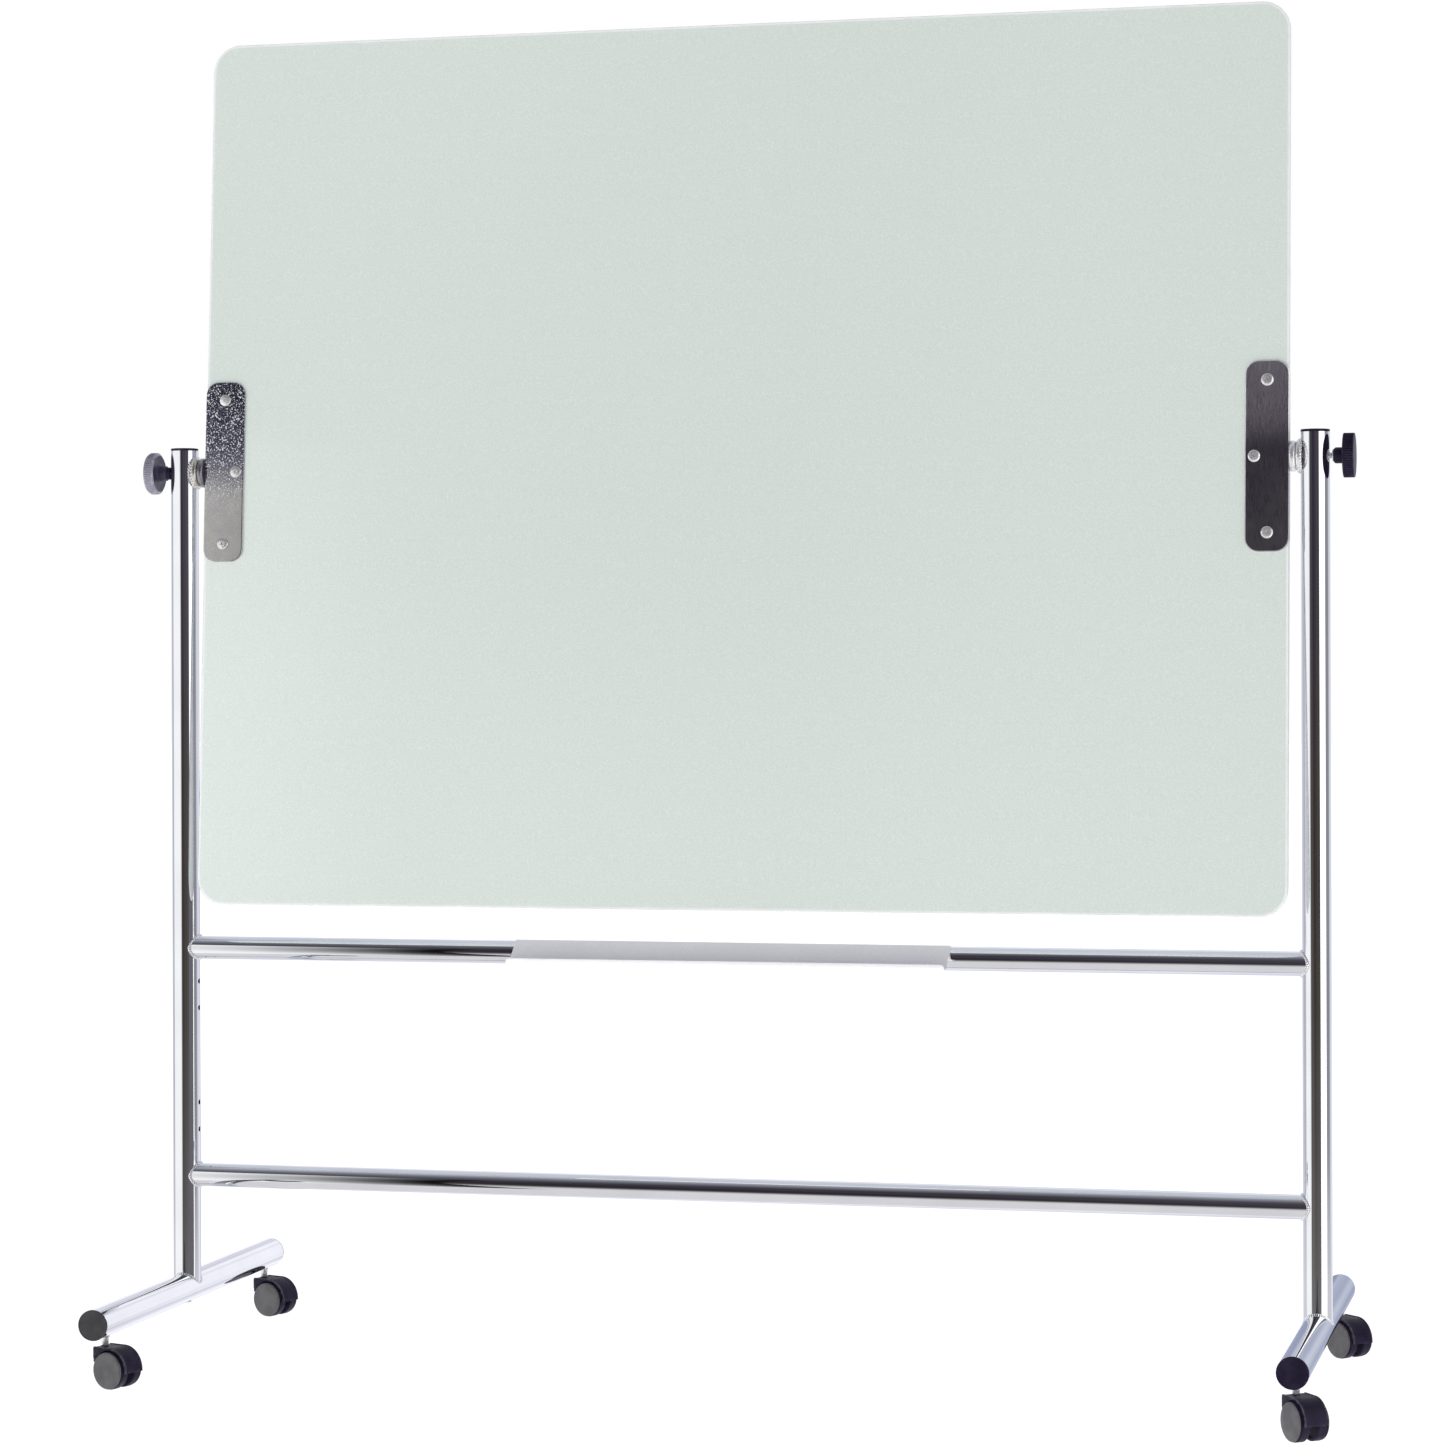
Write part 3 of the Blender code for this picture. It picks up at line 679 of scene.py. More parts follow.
@dataclass
class Tube:
    """A round tube about an axis, its ends cut to any shape.

    Attributes:
        radius: outside radius.
        wall: wall thickness.
        sides: how many points go round.
        edge: size of the small chamfer at each outer end.
    """

    radius: float
    wall: float = 0.0018
    sides: int = 120
    edge: float = 0.0005

    def shell(self, low: Any, high: Any, rows: Sequence[float] = ()) -> Shell:
        """The tube along Z: at angle a its wall runs from low to high, which may both depend on the angle.

        Args:
            low: a height, or a function of (radius, angles) that gives heights.
            high: the same for the upper end.
            rows: heights of extra rows on the outside.

        Returns:
            The tube.
        """
        angle = round_angles(self.sides)
        inside, outside = self.radius - self.wall, self.radius

        def end(height: Any, radius: float) -> np.ndarray:
            """The end's height at every angle."""
            return (height(radius, angle) if callable(height) else height) + 0 * angle

        rings = [
            (inside, end(low, inside)),
            (outside - self.edge, end(low, outside - self.edge)),
            (outside, end(low, outside) + self.edge),
            *((outside, row + 0 * angle) for row in rows),
            (outside, end(high, outside) - self.edge),
            (outside - self.edge, end(high, outside - self.edge)),
            (inside, end(high, inside)),
        ]
        points = np.array([np.stack([r * np.cos(angle), r * np.sin(angle), h], axis=-1) for r, h in rings])
        return grid(points, loop=True)


@dataclass
class End:
    """One end of the stand: the post, the foot, their caps, the collar and the joint between them.

    Attributes:
        side: which end.
        palette: the finishes.
        post_radius: outside radius of the post.
        foot_radius: outside radius of the foot.
        collar_radius: outside radius of the collar.
        cap_radius: radius of the foot's end caps.
        collar_end: how far the collar's outer end stays from the post's axis.
        collar_bore: radius of the collar's bore.
        pivot_hole: radius of the hole for the tilting axis.
        bolt_hole: radius of the foot bolt's hole.
        stem_hole: radius of a caster stem's hole.
        outer_hole: radius of an assembly hole on the post's outer side.
        inner_hole: radius of one on its inner side.
        plug_gap: how much less a cap's plug measures than its tube, in radius.
        post_bead: radius of the weld between the post and the foot.
        collar_bead: radius of the weld between the post and the collar.
    """

    side: Side
    palette: Palette
    post_radius: float = 0.019
    foot_radius: float = 0.020
    collar_radius: float = 0.0215
    cap_radius: float = 0.0204
    collar_end: float = 0.0165
    collar_bore: float = 0.0165
    pivot_hole: float = 0.005
    bolt_hole: float = 0.0046
    stem_hole: float = 0.0056
    outer_hole: float = 0.0060
    inner_hole: float = 0.0035
    plug_gap: float = 0.0021
    post_bead: float = 0.0014
    collar_bead: float = 0.0016

    def __post_init__(self) -> None:
        """Reads the end's places from the CAD boxes."""
        word = self.side.word
        self.x = centre_of(f"{word}_foot").x
        self.foot_z = centre_of(f"{word}_foot_front_cap").z
        self.low, self.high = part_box(f"{word}_post")
        self.axis_z = centre_of(f"{word}_post_collar").z
        self.foot_low, self.foot_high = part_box(f"{word}_foot")
        self.aside = Matrix.Translation((self.x, 0, 0))
        if self.side is Side.LEFT:
            self.outer_heights = (0.882, 0.691, 0.500, 0.306)
            self.inner_heights = (0.513, 0.476, 0.3445, 0.307)
        else:
            self.outer_heights = ()
            self.inner_heights = (0.446,)

    def saddle(self, radius: float, angle: np.ndarray) -> np.ndarray:
        """Height of the foot's top under a point of the post: foot height + sqrt(R^2 - (r cos a)^2)."""
        return self.foot_z + np.sqrt(self.foot_radius**2 - (radius * np.cos(angle)) ** 2) + GAP

    def hole(self, towards: int, height: float, radius: float) -> Shell:
        """A drill through the post's wall on one side, or on both where towards is 0."""
        reach = 2 * self.post_radius
        low, high = (-reach if towards <= 0 else 0.0), (reach if towards >= 0 else 0.0)
        drill = turned([(0, low), (radius, low), (radius, high), (0, high)], DRILL_SIDES)
        return drill.moved(ALONG_X, Matrix.Translation((self.x, 0, height)))

    def build_post(self) -> None:
        """The post: a tube coped over the foot, with its assembly holes and the pivot's bore."""
        outward = self.side.value
        holes = [(0, self.axis_z, self.pivot_hole)]
        holes += [(outward, height, self.outer_hole) for height in self.outer_heights]
        holes += [(-outward, height, self.inner_hole) for height in self.inner_heights]
        plain_rows = np.linspace(self.foot_z + 0.06, self.high.z - 0.06, 9)
        rows = rows_beside(plain_rows, [height for _, height, _ in holes], 0.009)
        tube = Tube(self.post_radius).shell(self.saddle, self.high.z, rows)
        angle = round_angles(360)
        proud = 0.0002
        on = self.post_radius + proud
        path = np.stack([on * np.cos(angle), on * np.sin(angle), self.saddle(on, angle) + proud], axis=-1)
        out = np.stack([np.cos(angle), np.sin(angle), 0.9 + 0 * angle], axis=-1)
        seam = bead(path, out, self.post_bead, 40, 0.25).worn(1)
        add_piece(
            f"{self.side.word}_post_tube",
            [shell.moved(self.aside) for shell in (tube, seam)],
            [self.palette.chrome, self.palette.weld],
            "frame",
            [f"{self.side.word}_post"],
            [self.hole(*hole) for hole in holes],
        )

    def build_post_cap(self) -> None:
        """The flush cap in the post's top: a disc on a plug with a narrow neck."""
        low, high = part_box(f"{self.side.word}_post_cap")
        disc = self.post_radius
        plug = disc - self.plug_gap
        seat = self.high.z + GAP
        corners = [
            (0, low.z), (plug - 0.002, low.z), (plug, low.z + 0.002), (plug, seat - 0.002),
            (plug - 0.0006, seat - 0.001), (plug - 0.0006, seat),
            (disc, seat), (disc, high.z - 0.0003), (disc * 0.93, high.z), (0, high.z + 0.0006),
        ]
        cap = turned(softened(corners, 0.0007), 96).moved(self.aside)
        name = f"{self.side.word}_post_cap"
        add_piece(f"{name}_disc", [cap], [self.palette.black], "frame", [name])

    def build_foot(self) -> None:
        """The foot: a tube along Y with holes for the bolt and the two stems."""
        word = self.side.word
        stems = [centre_of(f"{end}_{word}_caster_stem").y for end in ("front", "rear")]
        reach = 2 * self.foot_radius
        drills = []
        for y, radius, top in ((0.0, self.bolt_hole, reach), *((y, self.stem_hole, 0) for y in stems)):
            drill = turned([(0, -reach), (radius, -reach), (radius, top), (0, top)], DRILL_SIDES)
            drills.append(drill.moved(Matrix.Translation((self.x, y, self.foot_z))))
        plain_rows = np.linspace(self.foot_low.y + 0.1, self.foot_high.y - 0.1, 5)
        rows = rows_beside(plain_rows, [0.0, *stems], 0.008)
        tube = Tube(self.foot_radius).shell(self.foot_low.y, self.foot_high.y, rows)
        add_piece(
            f"{word}_foot_tube",
            [tube.moved(ALONG_Y, Matrix.Translation((self.x, 0, self.foot_z)))],
            [self.palette.chrome],
            "frame",
            [f"{word}_foot"],
            drills,
        )

    def build_foot_caps(self) -> None:
        """The end caps: a ribbed plug, a lip on the tube's end and a slightly crowned face.

        The rear lip stays inside the tube's outline.
        """
        plug = self.foot_radius - self.plug_gap
        for end, y, turn in (("front", self.foot_low.y, 90), ("rear", self.foot_high.y, -90)):
            lip = self.cap_radius if end == "front" else self.foot_radius - GAP
            corners = [
                (0, -0.0137), (plug - 0.0015, -0.0137), (plug, -0.012), (plug, -0.009),
                (plug - 0.0007, -0.008), (plug, -0.007), (plug, GAP), (lip, GAP), (lip, 0.0022),
                (lip * 0.945, 0.0030), (lip * 0.90, 0.0027), (lip * 0.5, 0.0032), (0, 0.0034),
            ]
            cap = turned(softened(corners, 0.0008, 4), 96)
            name = f"{self.side.word}_foot_{end}_cap"
            place = Matrix.Translation((self.x, y, self.foot_z))
            shell = cap.moved(Matrix.Rotation(math.radians(turn), 4, "X"), place)
            look = self.palette.dark_grey if self.side is Side.LEFT else self.palette.black
            add_piece(f"{name}_moulding", [shell], [look], "frame", [name])

    def build_joint(self) -> None:
        """The bolt up through the foot, with a drive recess in its low head, and the plug inside the post."""
        word = self.side.word
        low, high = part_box(f"{word}_foot_bolt")
        seat = low.z + 0.0020
        corners = [
            (0, low.z + 0.0012), (0.0020, low.z + 0.0012), (0.0024, low.z), (0.0046, low.z),
            (0.0060, low.z + 0.0009), (0.0060, seat), (0.0040, seat), (0.0040, high.z), (0, high.z),
        ]
        bolt = turned(softened(corners, 0.0003), 48).moved(self.aside)
        name = f"{word}_foot_bolt"
        add_piece(f"{word}_foot_cap_bolt", [bolt], [self.palette.zinc], "frame", [name])
        dress_node(f"{word}_post_plug", self.palette.zinc)

    def cut_back(self, radius: float, angle: np.ndarray) -> np.ndarray:
        """How far from the middle plane the collar ends at a point: it is coped on to the post, which is
        X - sqrt(R^2 - (r cos a)^2), but never goes beyond the collar's outer end."""
        reach = np.sqrt(np.maximum(0, self.post_radius**2 - (radius * np.cos(angle)) ** 2))
        return np.minimum(abs(self.x) - reach - GAP, abs(self.x) - self.collar_end)

    def build_collar(self) -> None:
        """The spacer ring at the tilting axis: a short ring with a rounded rim, and its bead of weld."""
        word = self.side.word
        low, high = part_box(f"{word}_post_collar")
        face = min(abs(low.x), abs(high.x))
        radius, bore = self.collar_radius, self.collar_bore
        angle = round_angles(96)
        rim = [(bore, 0), (radius - 0.0030, 0), (radius - 0.0012, 0.0007), (radius - 0.0002, 0.0022)]
        rings = [(r, face + x + 0 * angle) for r, x in softened([*rim, (radius, 0.0034)], 0.0006)]
        rings += [(radius, self.cut_back(radius, angle)), (bore, self.cut_back(bore, angle))]
        points = np.array([np.stack([x, r * np.cos(angle), r * np.sin(angle)], axis=-1) for r, x in rings])
        turn = round_angles(360)
        on = radius - 0.0004
        path = np.stack([self.cut_back(on, turn) - 0.0010, on * np.cos(turn), on * np.sin(turn)], axis=-1)
        out = np.stack([-0.8 + 0 * turn, np.cos(turn), np.sin(turn)], axis=-1)
        seam = bead(path, out, self.collar_bead, 30, 0.4)
        flip = Matrix.Scale(self.side.value, 4, (1, 0, 0))
        lift = Matrix.Translation((0, 0, self.axis_z))
        shells = [grid(points, loop=True).moved(flip, lift), seam.moved(flip, lift).worn(1)]
        plating = self.palette.brassy_zinc if self.side is Side.LEFT else self.palette.zinc
        looks = [plating, self.palette.weld]
        add_piece(f"{word}_spacer_ring", shells, looks, "frame", [f"{word}_post_collar"])

    def build(self) -> None:
        """Builds and dresses the whole end."""
        self.build_post()
        self.build_post_cap()
        self.build_foot()
        self.build_foot_caps()
        self.build_joint()
        self.build_collar()


@dataclass
class Crossbars:
    """The two welded crossbars.

    Attributes:
        palette: the finishes.
        radius: outside radius of a bar.
        post_radius: outside radius of the posts.
        bead_radius: radius of the weld.
    """

    palette: Palette
    radius: float = 0.016
    post_radius: float = 0.019
    bead_radius: float = 0.0019

    def build(self) -> None:
        """Builds both bars: each is a tube along X, coped on to the posts, with a bead at each end."""
        post_x = centre_of("right_foot").x

        def reach(radius: float, angle: np.ndarray) -> np.ndarray:
            """Where the bar meets the post: post's x - sqrt(R^2 - (r sin a)^2)."""
            return post_x - np.sqrt(self.post_radius**2 - (radius * np.sin(angle)) ** 2) - GAP

        angle = round_angles(420)
        on = self.radius + 0.0002
        path = np.stack([reach(on, angle) - 0.0006, on * np.sin(angle), on * np.cos(angle)], axis=-1)
        out = np.stack([-0.9 + 0 * angle, np.sin(angle), np.cos(angle)], axis=-1)
        seam = bead(path, out, self.bead_radius, 34).worn(1)
        tube = Tube(self.radius).shell(lambda r, a: -reach(r, a), reach, np.linspace(-0.7, 0.7, 9))
        for name in ("upper_crossbar", "lower_crossbar"):
            lift = Matrix.Translation((0, 0, centre_of(name).z))
            shells = [tube.moved(ALONG_X, lift)]
            shells += [seam.moved(lift), seam.moved(Matrix.Scale(-1, 4, (1, 0, 0)), lift)]
            looks = [self.palette.chrome, self.palette.weld]
            add_piece(f"{name}_tube", shells, looks, "frame", [name])


@dataclass
class PenTray:
    """The pen tray: one folded sheet on the upper crossbar.

    Attributes:
        palette: the finishes.
        sheet: its thickness.
        bend: how far from a fold its curve starts.
        corner: radius of the lip's cut corners.
        folds: (forward, up) from the crossbar's axis to each fold line.
    """

    palette: Palette
    sheet: float = 0.0012
    bend: float = 0.0028
    corner: float = 0.0045
    folds: tuple[tuple[float, float], ...] = (
        (0.006, 0.0172), (0.041, -0.0110), (0.056, -0.0110), (0.056, -0.0040)
    )

    def build(self) -> None:
        """Builds the tray: a flat outline carried down the slope, over the floor and up the lip."""
        low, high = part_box("pen_tray")
        half = (high.x - low.x) / 2
        line = softened([(-forward, up) for forward, up in self.folds], self.bend, 7)
        fine = np.linspace(0, 1, 7)[1:, None]
        line = np.vstack([line[:-1], line[-2] + (line[-1] - line[-2]) * fine])
        along = np.gradient(line, axis=0)
        along /= np.linalg.norm(along, axis=1, keepdims=True)
        left = np.linalg.norm(line - line[-1], axis=1)
        inset = self.corner - np.sqrt(np.maximum(0, self.corner**2 - np.maximum(0, self.corner - left) ** 2))
        inset[: len(line) // 2] = 0
        outline = rounded_outline(2 * half, self.sheet, self.sheet * 0.45, 3)
        outlines = np.broadcast_to(outline, (len(line), *outline.shape)).copy()
        outlines[..., 0] -= np.sign(outlines[..., 0]) * inset[:, None]
        path = np.column_stack([0 * line[:, 0], line[:, 0], line[:, 1] + centre_of("upper_crossbar").z])
        up = np.column_stack([0 * along[:, 0], -along[:, 1], along[:, 0]])
        tray = carried(path, np.array([1.0, 0, 0]), up, outlines)
        add_piece("folded_tray", [tray], [self.palette.enamel], "frame", ["pen_tray"])


# ---------------------------------------------------------------- board


@dataclass
class Board:
    """The glass board and what is fixed to it, built upright about the tilting axis and then leant back.

    Attributes:
        palette: the finishes.
        width: extent along X.
        height: extent upwards.
        corner: corner radius.
        glass: thickness of each pane.
        core: thickness of the steel between them.
        rim: width of the clear band round a pane, painted paler than the face as a highlight on the polished
            arris.
        tilt: lean of the board at rest, in degrees.
        plate_size: width, height and thickness of a clamp plate.
        plate_corner: its corner radius.
        screw_head: radius of a screw's head.
        hub_radius: radius of the round boss at the tilting axis.
        hub_bore: radius of its bore.
    """

    palette: Palette
    width: float = 1.500
    height: float = 1.200
    corner: float = 0.038
    glass: float = 0.004
    core: float = 0.0008
    rim: float = 0.0036
    tilt: float = 3.7
    plate_size: tuple[float, float, float] = (0.057, 0.250, 0.003)
    plate_corner: float = 0.018
    screw_head: float = 0.0081
    hub_radius: float = 0.0205
    hub_bore: float = 0.0043

    def __post_init__(self) -> None:
        """Finds the tilting axis and the plane of each clamp plate."""
        self.axis_z = centre_of("left_pivot_hub").z
        tilted = Matrix.Rotation(math.radians(-self.tilt), 4, "X")
        self.lean = (tilted, Matrix.Translation((0, 0, self.axis_z)))
        self.face = self.core / 2 + GAP + self.glass
        self.plate_x = (self.width - self.plate_size[0]) / 2

    def stood(self, shell: Shell, x: float, near: float, z: float, back: bool = False) -> Shell:
        """Stands a surface made flat along Z up against the board, and leans it with the board.

        Args:
            shell: the surface, with its back at height 0.
            x: its place along the board.
            near: distance of its back from the board's middle plane.
            z: its place up the board.
            back: whether it stands on the rear.

        Returns:
            The placed surface.
        """
        stand = Matrix.Rotation(math.radians(90), 4, "X")
        turn = Matrix.Rotation(math.pi, 4, "Z") if back else Matrix.Identity(4)
        out = near if back else -near
        return shell.moved(stand, turn, Matrix.Translation((x, out, z)), *self.lean)

    def build_panes(self) -> None:
        """The two panes, each with a rounded arris and a clear rim painted paler as a highlight, and the
        steel core between them.
        """
        thick, rim, steps = self.glass, self.rim, 16
        arris = softened([(0.0010, 0), (0, 0.0006), (0, thick - 0.0012), (0.0009, thick)], 0.0007, 4)
        edge = plate(self.width, self.height, self.corner, np.vstack([arris, [(rim, thick)]]), steps)
        edge = replace(edge, caps=edge.caps[:1])
        face = rounded_outline(self.width - 2 * rim, self.height - 2 * rim, self.corner - rim, steps)
        points = np.column_stack([face, np.full(len(face), thick)])
        face = Shell(points, np.zeros((0, 4), int), [list(range(len(points)))], 1)
        for name, back in (("front_glass", False), ("rear_glass", True)):
            shells = [self.stood(shell, 0, self.core / 2 + GAP, 0, back) for shell in (edge, face)]
            # the edge finish is paler than the face: a painted highlight on the arris and rim
            looks = [self.palette.glass_edge_painted_highlight, self.palette.glass]
            add_piece(f"{name}_pane", shells, looks, "board", [name])
        dress_node("steel_core", self.palette.sheet)

    def build_plates(self, side: Side) -> None:
        """The front and rear plate of one clamp, with softened edges."""
        width, height, thick = self.plate_size
        edge = [(0.0006, 0), (0, 0.0005), (0, thick - 0.0007), (0.0008, thick), (0.0018, thick)]
        blank = plate(width, height, self.plate_corner, softened(edge, 0.0006, 3), 14)
        # both plate finishes carry a painted reflection: darker towards the top on the left plates, lighter
        # towards the top on the right ones
        look = self.palette.hammered_painted_reflection if side is Side.LEFT else self.palette.brushed_painted_reflection
        for word, back in (("front", False), ("rear", True)):
            name = f"{side.word}_clamp_{word}_plate"
            shell = self.stood(blank, side.value * self.plate_x, self.face + GAP, 0, back)
            add_piece(f"{name}_steel", [shell], [look], "board", [name])

    def head(self) -> Shell:
        """A pan head: height h(r) of a rounded button, less a cross-shaped drive recess.

        Returns:
            The head, standing on height 0.
        """
        shares = np.concatenate([np.linspace(0, 0.45, 22), np.linspace(0.48, 1, 14), [1.0, 0.97]])
        radius = shares * self.screw_head
        angle = round_angles(96)
        share = np.minimum(1, radius / self.screw_head)
        height = 0.0007 + 0.0023 * (1 - share**4) ** 0.5
        height[-2:] = (0.0002, 0.0)
        x, y = radius[:, None] * np.cos(angle), radius[:, None] * np.sin(angle)

        def arm(along: np.ndarray, across: np.ndarray) -> np.ndarray:
            """Depth share of one arm of the cross."""
            long = np.clip((0.0022 - np.abs(along)) / 0.0008, 0, 1)
            return long * np.clip((0.00062 - np.abs(across)) / 0.00022, 0, 1)

        recess = 0.0017 * np.maximum(arm(x, y), arm(y, x))
        points = np.dstack([x, y, np.maximum(height[:, None] - recess, 0.0)])
        return grid(points, ends=True)

    def build_screws(self, side: Side) -> None:
        """The three screws of one clamp: heads in front, low nuts with the screws' ends behind."""
        _, _, thick = self.plate_size
        seat = self.face + 2 * GAP + thick
        across = [(0.004, 0), (0.0074, 0), (0.0074, 0.0018), (0.0064, 0.0023), (0.004, 0.0023)]
        nut = turned(softened(across, 0.0002), 6, True)
        tip = [(0, 0), (0.0038, 0), (0.0038, 0.0026), (0.0033, 0.003), (0, 0.003)]
        end = turned(softened(tip, 0.0003), 32)
        for word, offset, z in (("top", 0, 0.1), ("middle", -0.017, 0), ("bottom", 0, -0.1)):
            x = side.value * (self.plate_x + offset)
            spin = Matrix.Rotation(math.radians(40 * z * 10 + 25 * side.value), 4, "Z")
            shells = [self.stood(self.head().moved(spin), x, seat, z)]
            shells += [self.stood(shell.moved(spin), x, seat, z, True) for shell in (nut, end)]
            name = f"{side.word}_clamp_screw_{word}"
            add_piece(f"{name}_set", shells, [self.palette.zinc], "board", [name])

    def build_hub(self, side: Side) -> None:
        """The round boss on the clamp's outer edge, with a bulging rim."""
        low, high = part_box(f"{side.word}_pivot_hub")
        start, end = sorted((abs(low.x), abs(high.x)))
        radius, bore = self.hub_radius, self.hub_bore
        corners = [
            (bore, start), (radius - 0.0022, start), (radius - 0.0004, start + 0.0015),
            (radius, (start + end) / 2),
            (radius - 0.0004, end - 0.0015), (radius - 0.0024, end), (bore, end),
        ]
        boss = turned(softened(corners, 0.0015, 4), 96, True)
        shell = boss.moved(ALONG_X, Matrix.Scale(side.value, 4, (1, 0, 0)), *self.lean)
        name = f"{side.word}_pivot_hub"
        look = self.palette.brushed_painted_reflection if side is Side.LEFT else self.palette.zinc
        add_piece(f"{name}_boss", [shell], [look], "board", [name])

    def build(self) -> None:
        """Builds and dresses the board."""
        self.build_panes()
        for side in Side:
            self.build_plates(side)
            self.build_screws(side)
            self.build_hub(side)


# ---------------------------------------------------------------- knobs


@dataclass
class Knob:
    """One clamping knob: a ribbed rim round a dished face, a hub, a threaded stud and its washer.

    Attributes:
        side: which end.
        palette: the finishes.
        radius: radius of the rim.
        ribs: how many ribs go round it.
        rib_depth: how deep the grooves between them are.
        hub_radius: radius of the hub.
        hub_length: how far the hub stands in from the rim's disc.
        pitch: the stud's thread pitch.
    """

    side: Side
    palette: Palette
    radius: float = 0.029
    ribs: int = 56
    rib_depth: float = 0.0011
    hub_radius: float = 0.0105
    hub_length: float = 0.0125
    pitch: float = 0.0015

    def __post_init__(self) -> None:
        """Reads the knob's place from the CAD boxes, measured outwards from the middle."""
        word = self.side.word
        self.start, self.end = self.span(f"{word}_knob")
        flip = Matrix.Scale(self.side.value, 4, (1, 0, 0))
        self.place = (ALONG_X, flip, Matrix.Translation((0, 0, centre_of(f"{word}_knob").z)))

    def span(self, node: str) -> tuple[float, float]:
        """Nearest and furthest distance of a node from the middle plane."""
        low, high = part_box(node)
        first, second = sorted((abs(low.x), abs(high.x)))
        return first, second

    def build_knob(self) -> None:
        """The knob: its profile is turned, and at angle a the ribbed part's radius falls by the rib depth
        times (1 - cos(ribs * a)) / 2. The left knob's rim is rounder than the right one's."""
        start, top, rim, hub = self.start, self.end, self.radius, self.hub_radius
        disc = start + self.hub_length
        if self.side is Side.LEFT:
            shoulder = rim * 0.87
            edge = [(rim - 0.0004, disc + 0.0022), (rim - 0.0002, disc + 0.0028)]
            ribbed = [(rim, disc + 0.0034), (rim, top - 0.0042)]
            rest = [(rim - 0.0006, top - 0.0034), (rim - 0.0022, top - 0.0010)]
            # left knob: one moulding in two copies, darker on the face that turns from the light as painted
            # shade, lighter on the rim as painted light
            looks = [self.palette.knob_face_painted_shade, self.palette.knob]
        else:
            shoulder = rim - 0.0006
            edge = [(rim, disc + 0.0006)]
            ribbed = [(rim, disc + 0.0020), (rim, top - 0.0020)]
            rest = [(rim, top - 0.0010), (rim - 0.0006, top - 0.0006)]
            looks = [self.palette.black, self.palette.black]
        inner = [
            (0, start + 0.004), (0.0046, start + 0.004), (0.0046, start), (hub - 0.0018, start),
            (hub, start + 0.0020), (hub, disc - 0.0016), (hub + 0.0026, disc + 0.0002),
            (hub + 0.0040, disc + 0.0006), (shoulder - 0.0016, disc + 0.0006), (shoulder, disc),
        ]
        crown = [(rim * 0.8, top - 0.0003), (rim * 0.5, top), (0, top)]
        face = softened(inner, 0.0006, 3)
        profile = np.vstack([face, edge, ribbed, rest, crown])
        share = np.zeros(len(profile))
        share[len(face) + len(edge) :][:2] = 1
        angle = round_angles(self.ribs * 8)
        groove = self.rib_depth * (0.5 - 0.5 * np.cos(self.ribs * angle))
        radius = np.maximum(0, profile[:, :1] - share[:, None] * groove)
        height = profile[:, 1:] + 0 * angle
        grip = grid(np.dstack([radius * np.cos(angle), radius * np.sin(angle), height]))
        shells = grip.moved(*self.place).parted((len(face) - 1) * len(angle), 1)
        name = f"{self.side.word}_knob"
        add_piece(f"{name}_grip", shells, looks, f"{name}_grip", [name], sharp=40)

    def build_stud(self) -> None:
        """The stud: at angle a and height h its radius follows a ridge at phase h / pitch - a / (2 pi)."""
        start, end = self.span(f"{self.side.word}_knob_stud")
        height = np.arange(start + 0.0004, end, self.pitch / 7)
        angle = round_angles(36)
        phase = (height[:, None] / self.pitch - angle / TAU) % 1
        radius = 0.0040 - 0.0005 * np.abs(2 * phase - 1) ** 1.4
        radius = radius * np.clip((height - start) / 0.001 + 0.8, 0, 1)[:, None]
        points = np.dstack([radius * np.cos(angle), radius * np.sin(angle), height[:, None] + 0 * angle])
        name = f"{self.side.word}_knob_stud"
        body = f"{self.side.word}_knob_grip"
        thread = grid(points, ends=True).moved(*self.place)
        add_piece(f"{name}_thread", [thread], [self.palette.zinc], body, [name])

    def build_washer(self) -> None:
        """The washer, or the longer bush of the left side, with rounded rims."""
        start, end = self.span(f"{self.side.word}_knob_washer")
        inner, outer = 0.0043, 0.0085
        edge = min(0.0008, (end - start) * 0.3)
        corners = [
            (inner, start), (outer - edge, start), (outer, start + edge),
            (outer, end - edge), (outer - edge, end), (inner, end),
        ]
        ring = turned(softened(corners, 0.0005), 72, True).moved(*self.place)
        look = self.palette.black if self.side is Side.LEFT else self.palette.zinc
        name = f"{self.side.word}_knob_washer"
        add_piece(f"{name}_ring", [ring], [look], f"{self.side.word}_knob_carrier", [name])

    def build(self) -> None:
        """Builds and dresses the knob."""
        self.build_knob()
        self.build_stud()
        self.build_washer()


# ---------------------------------------------------------------- casters


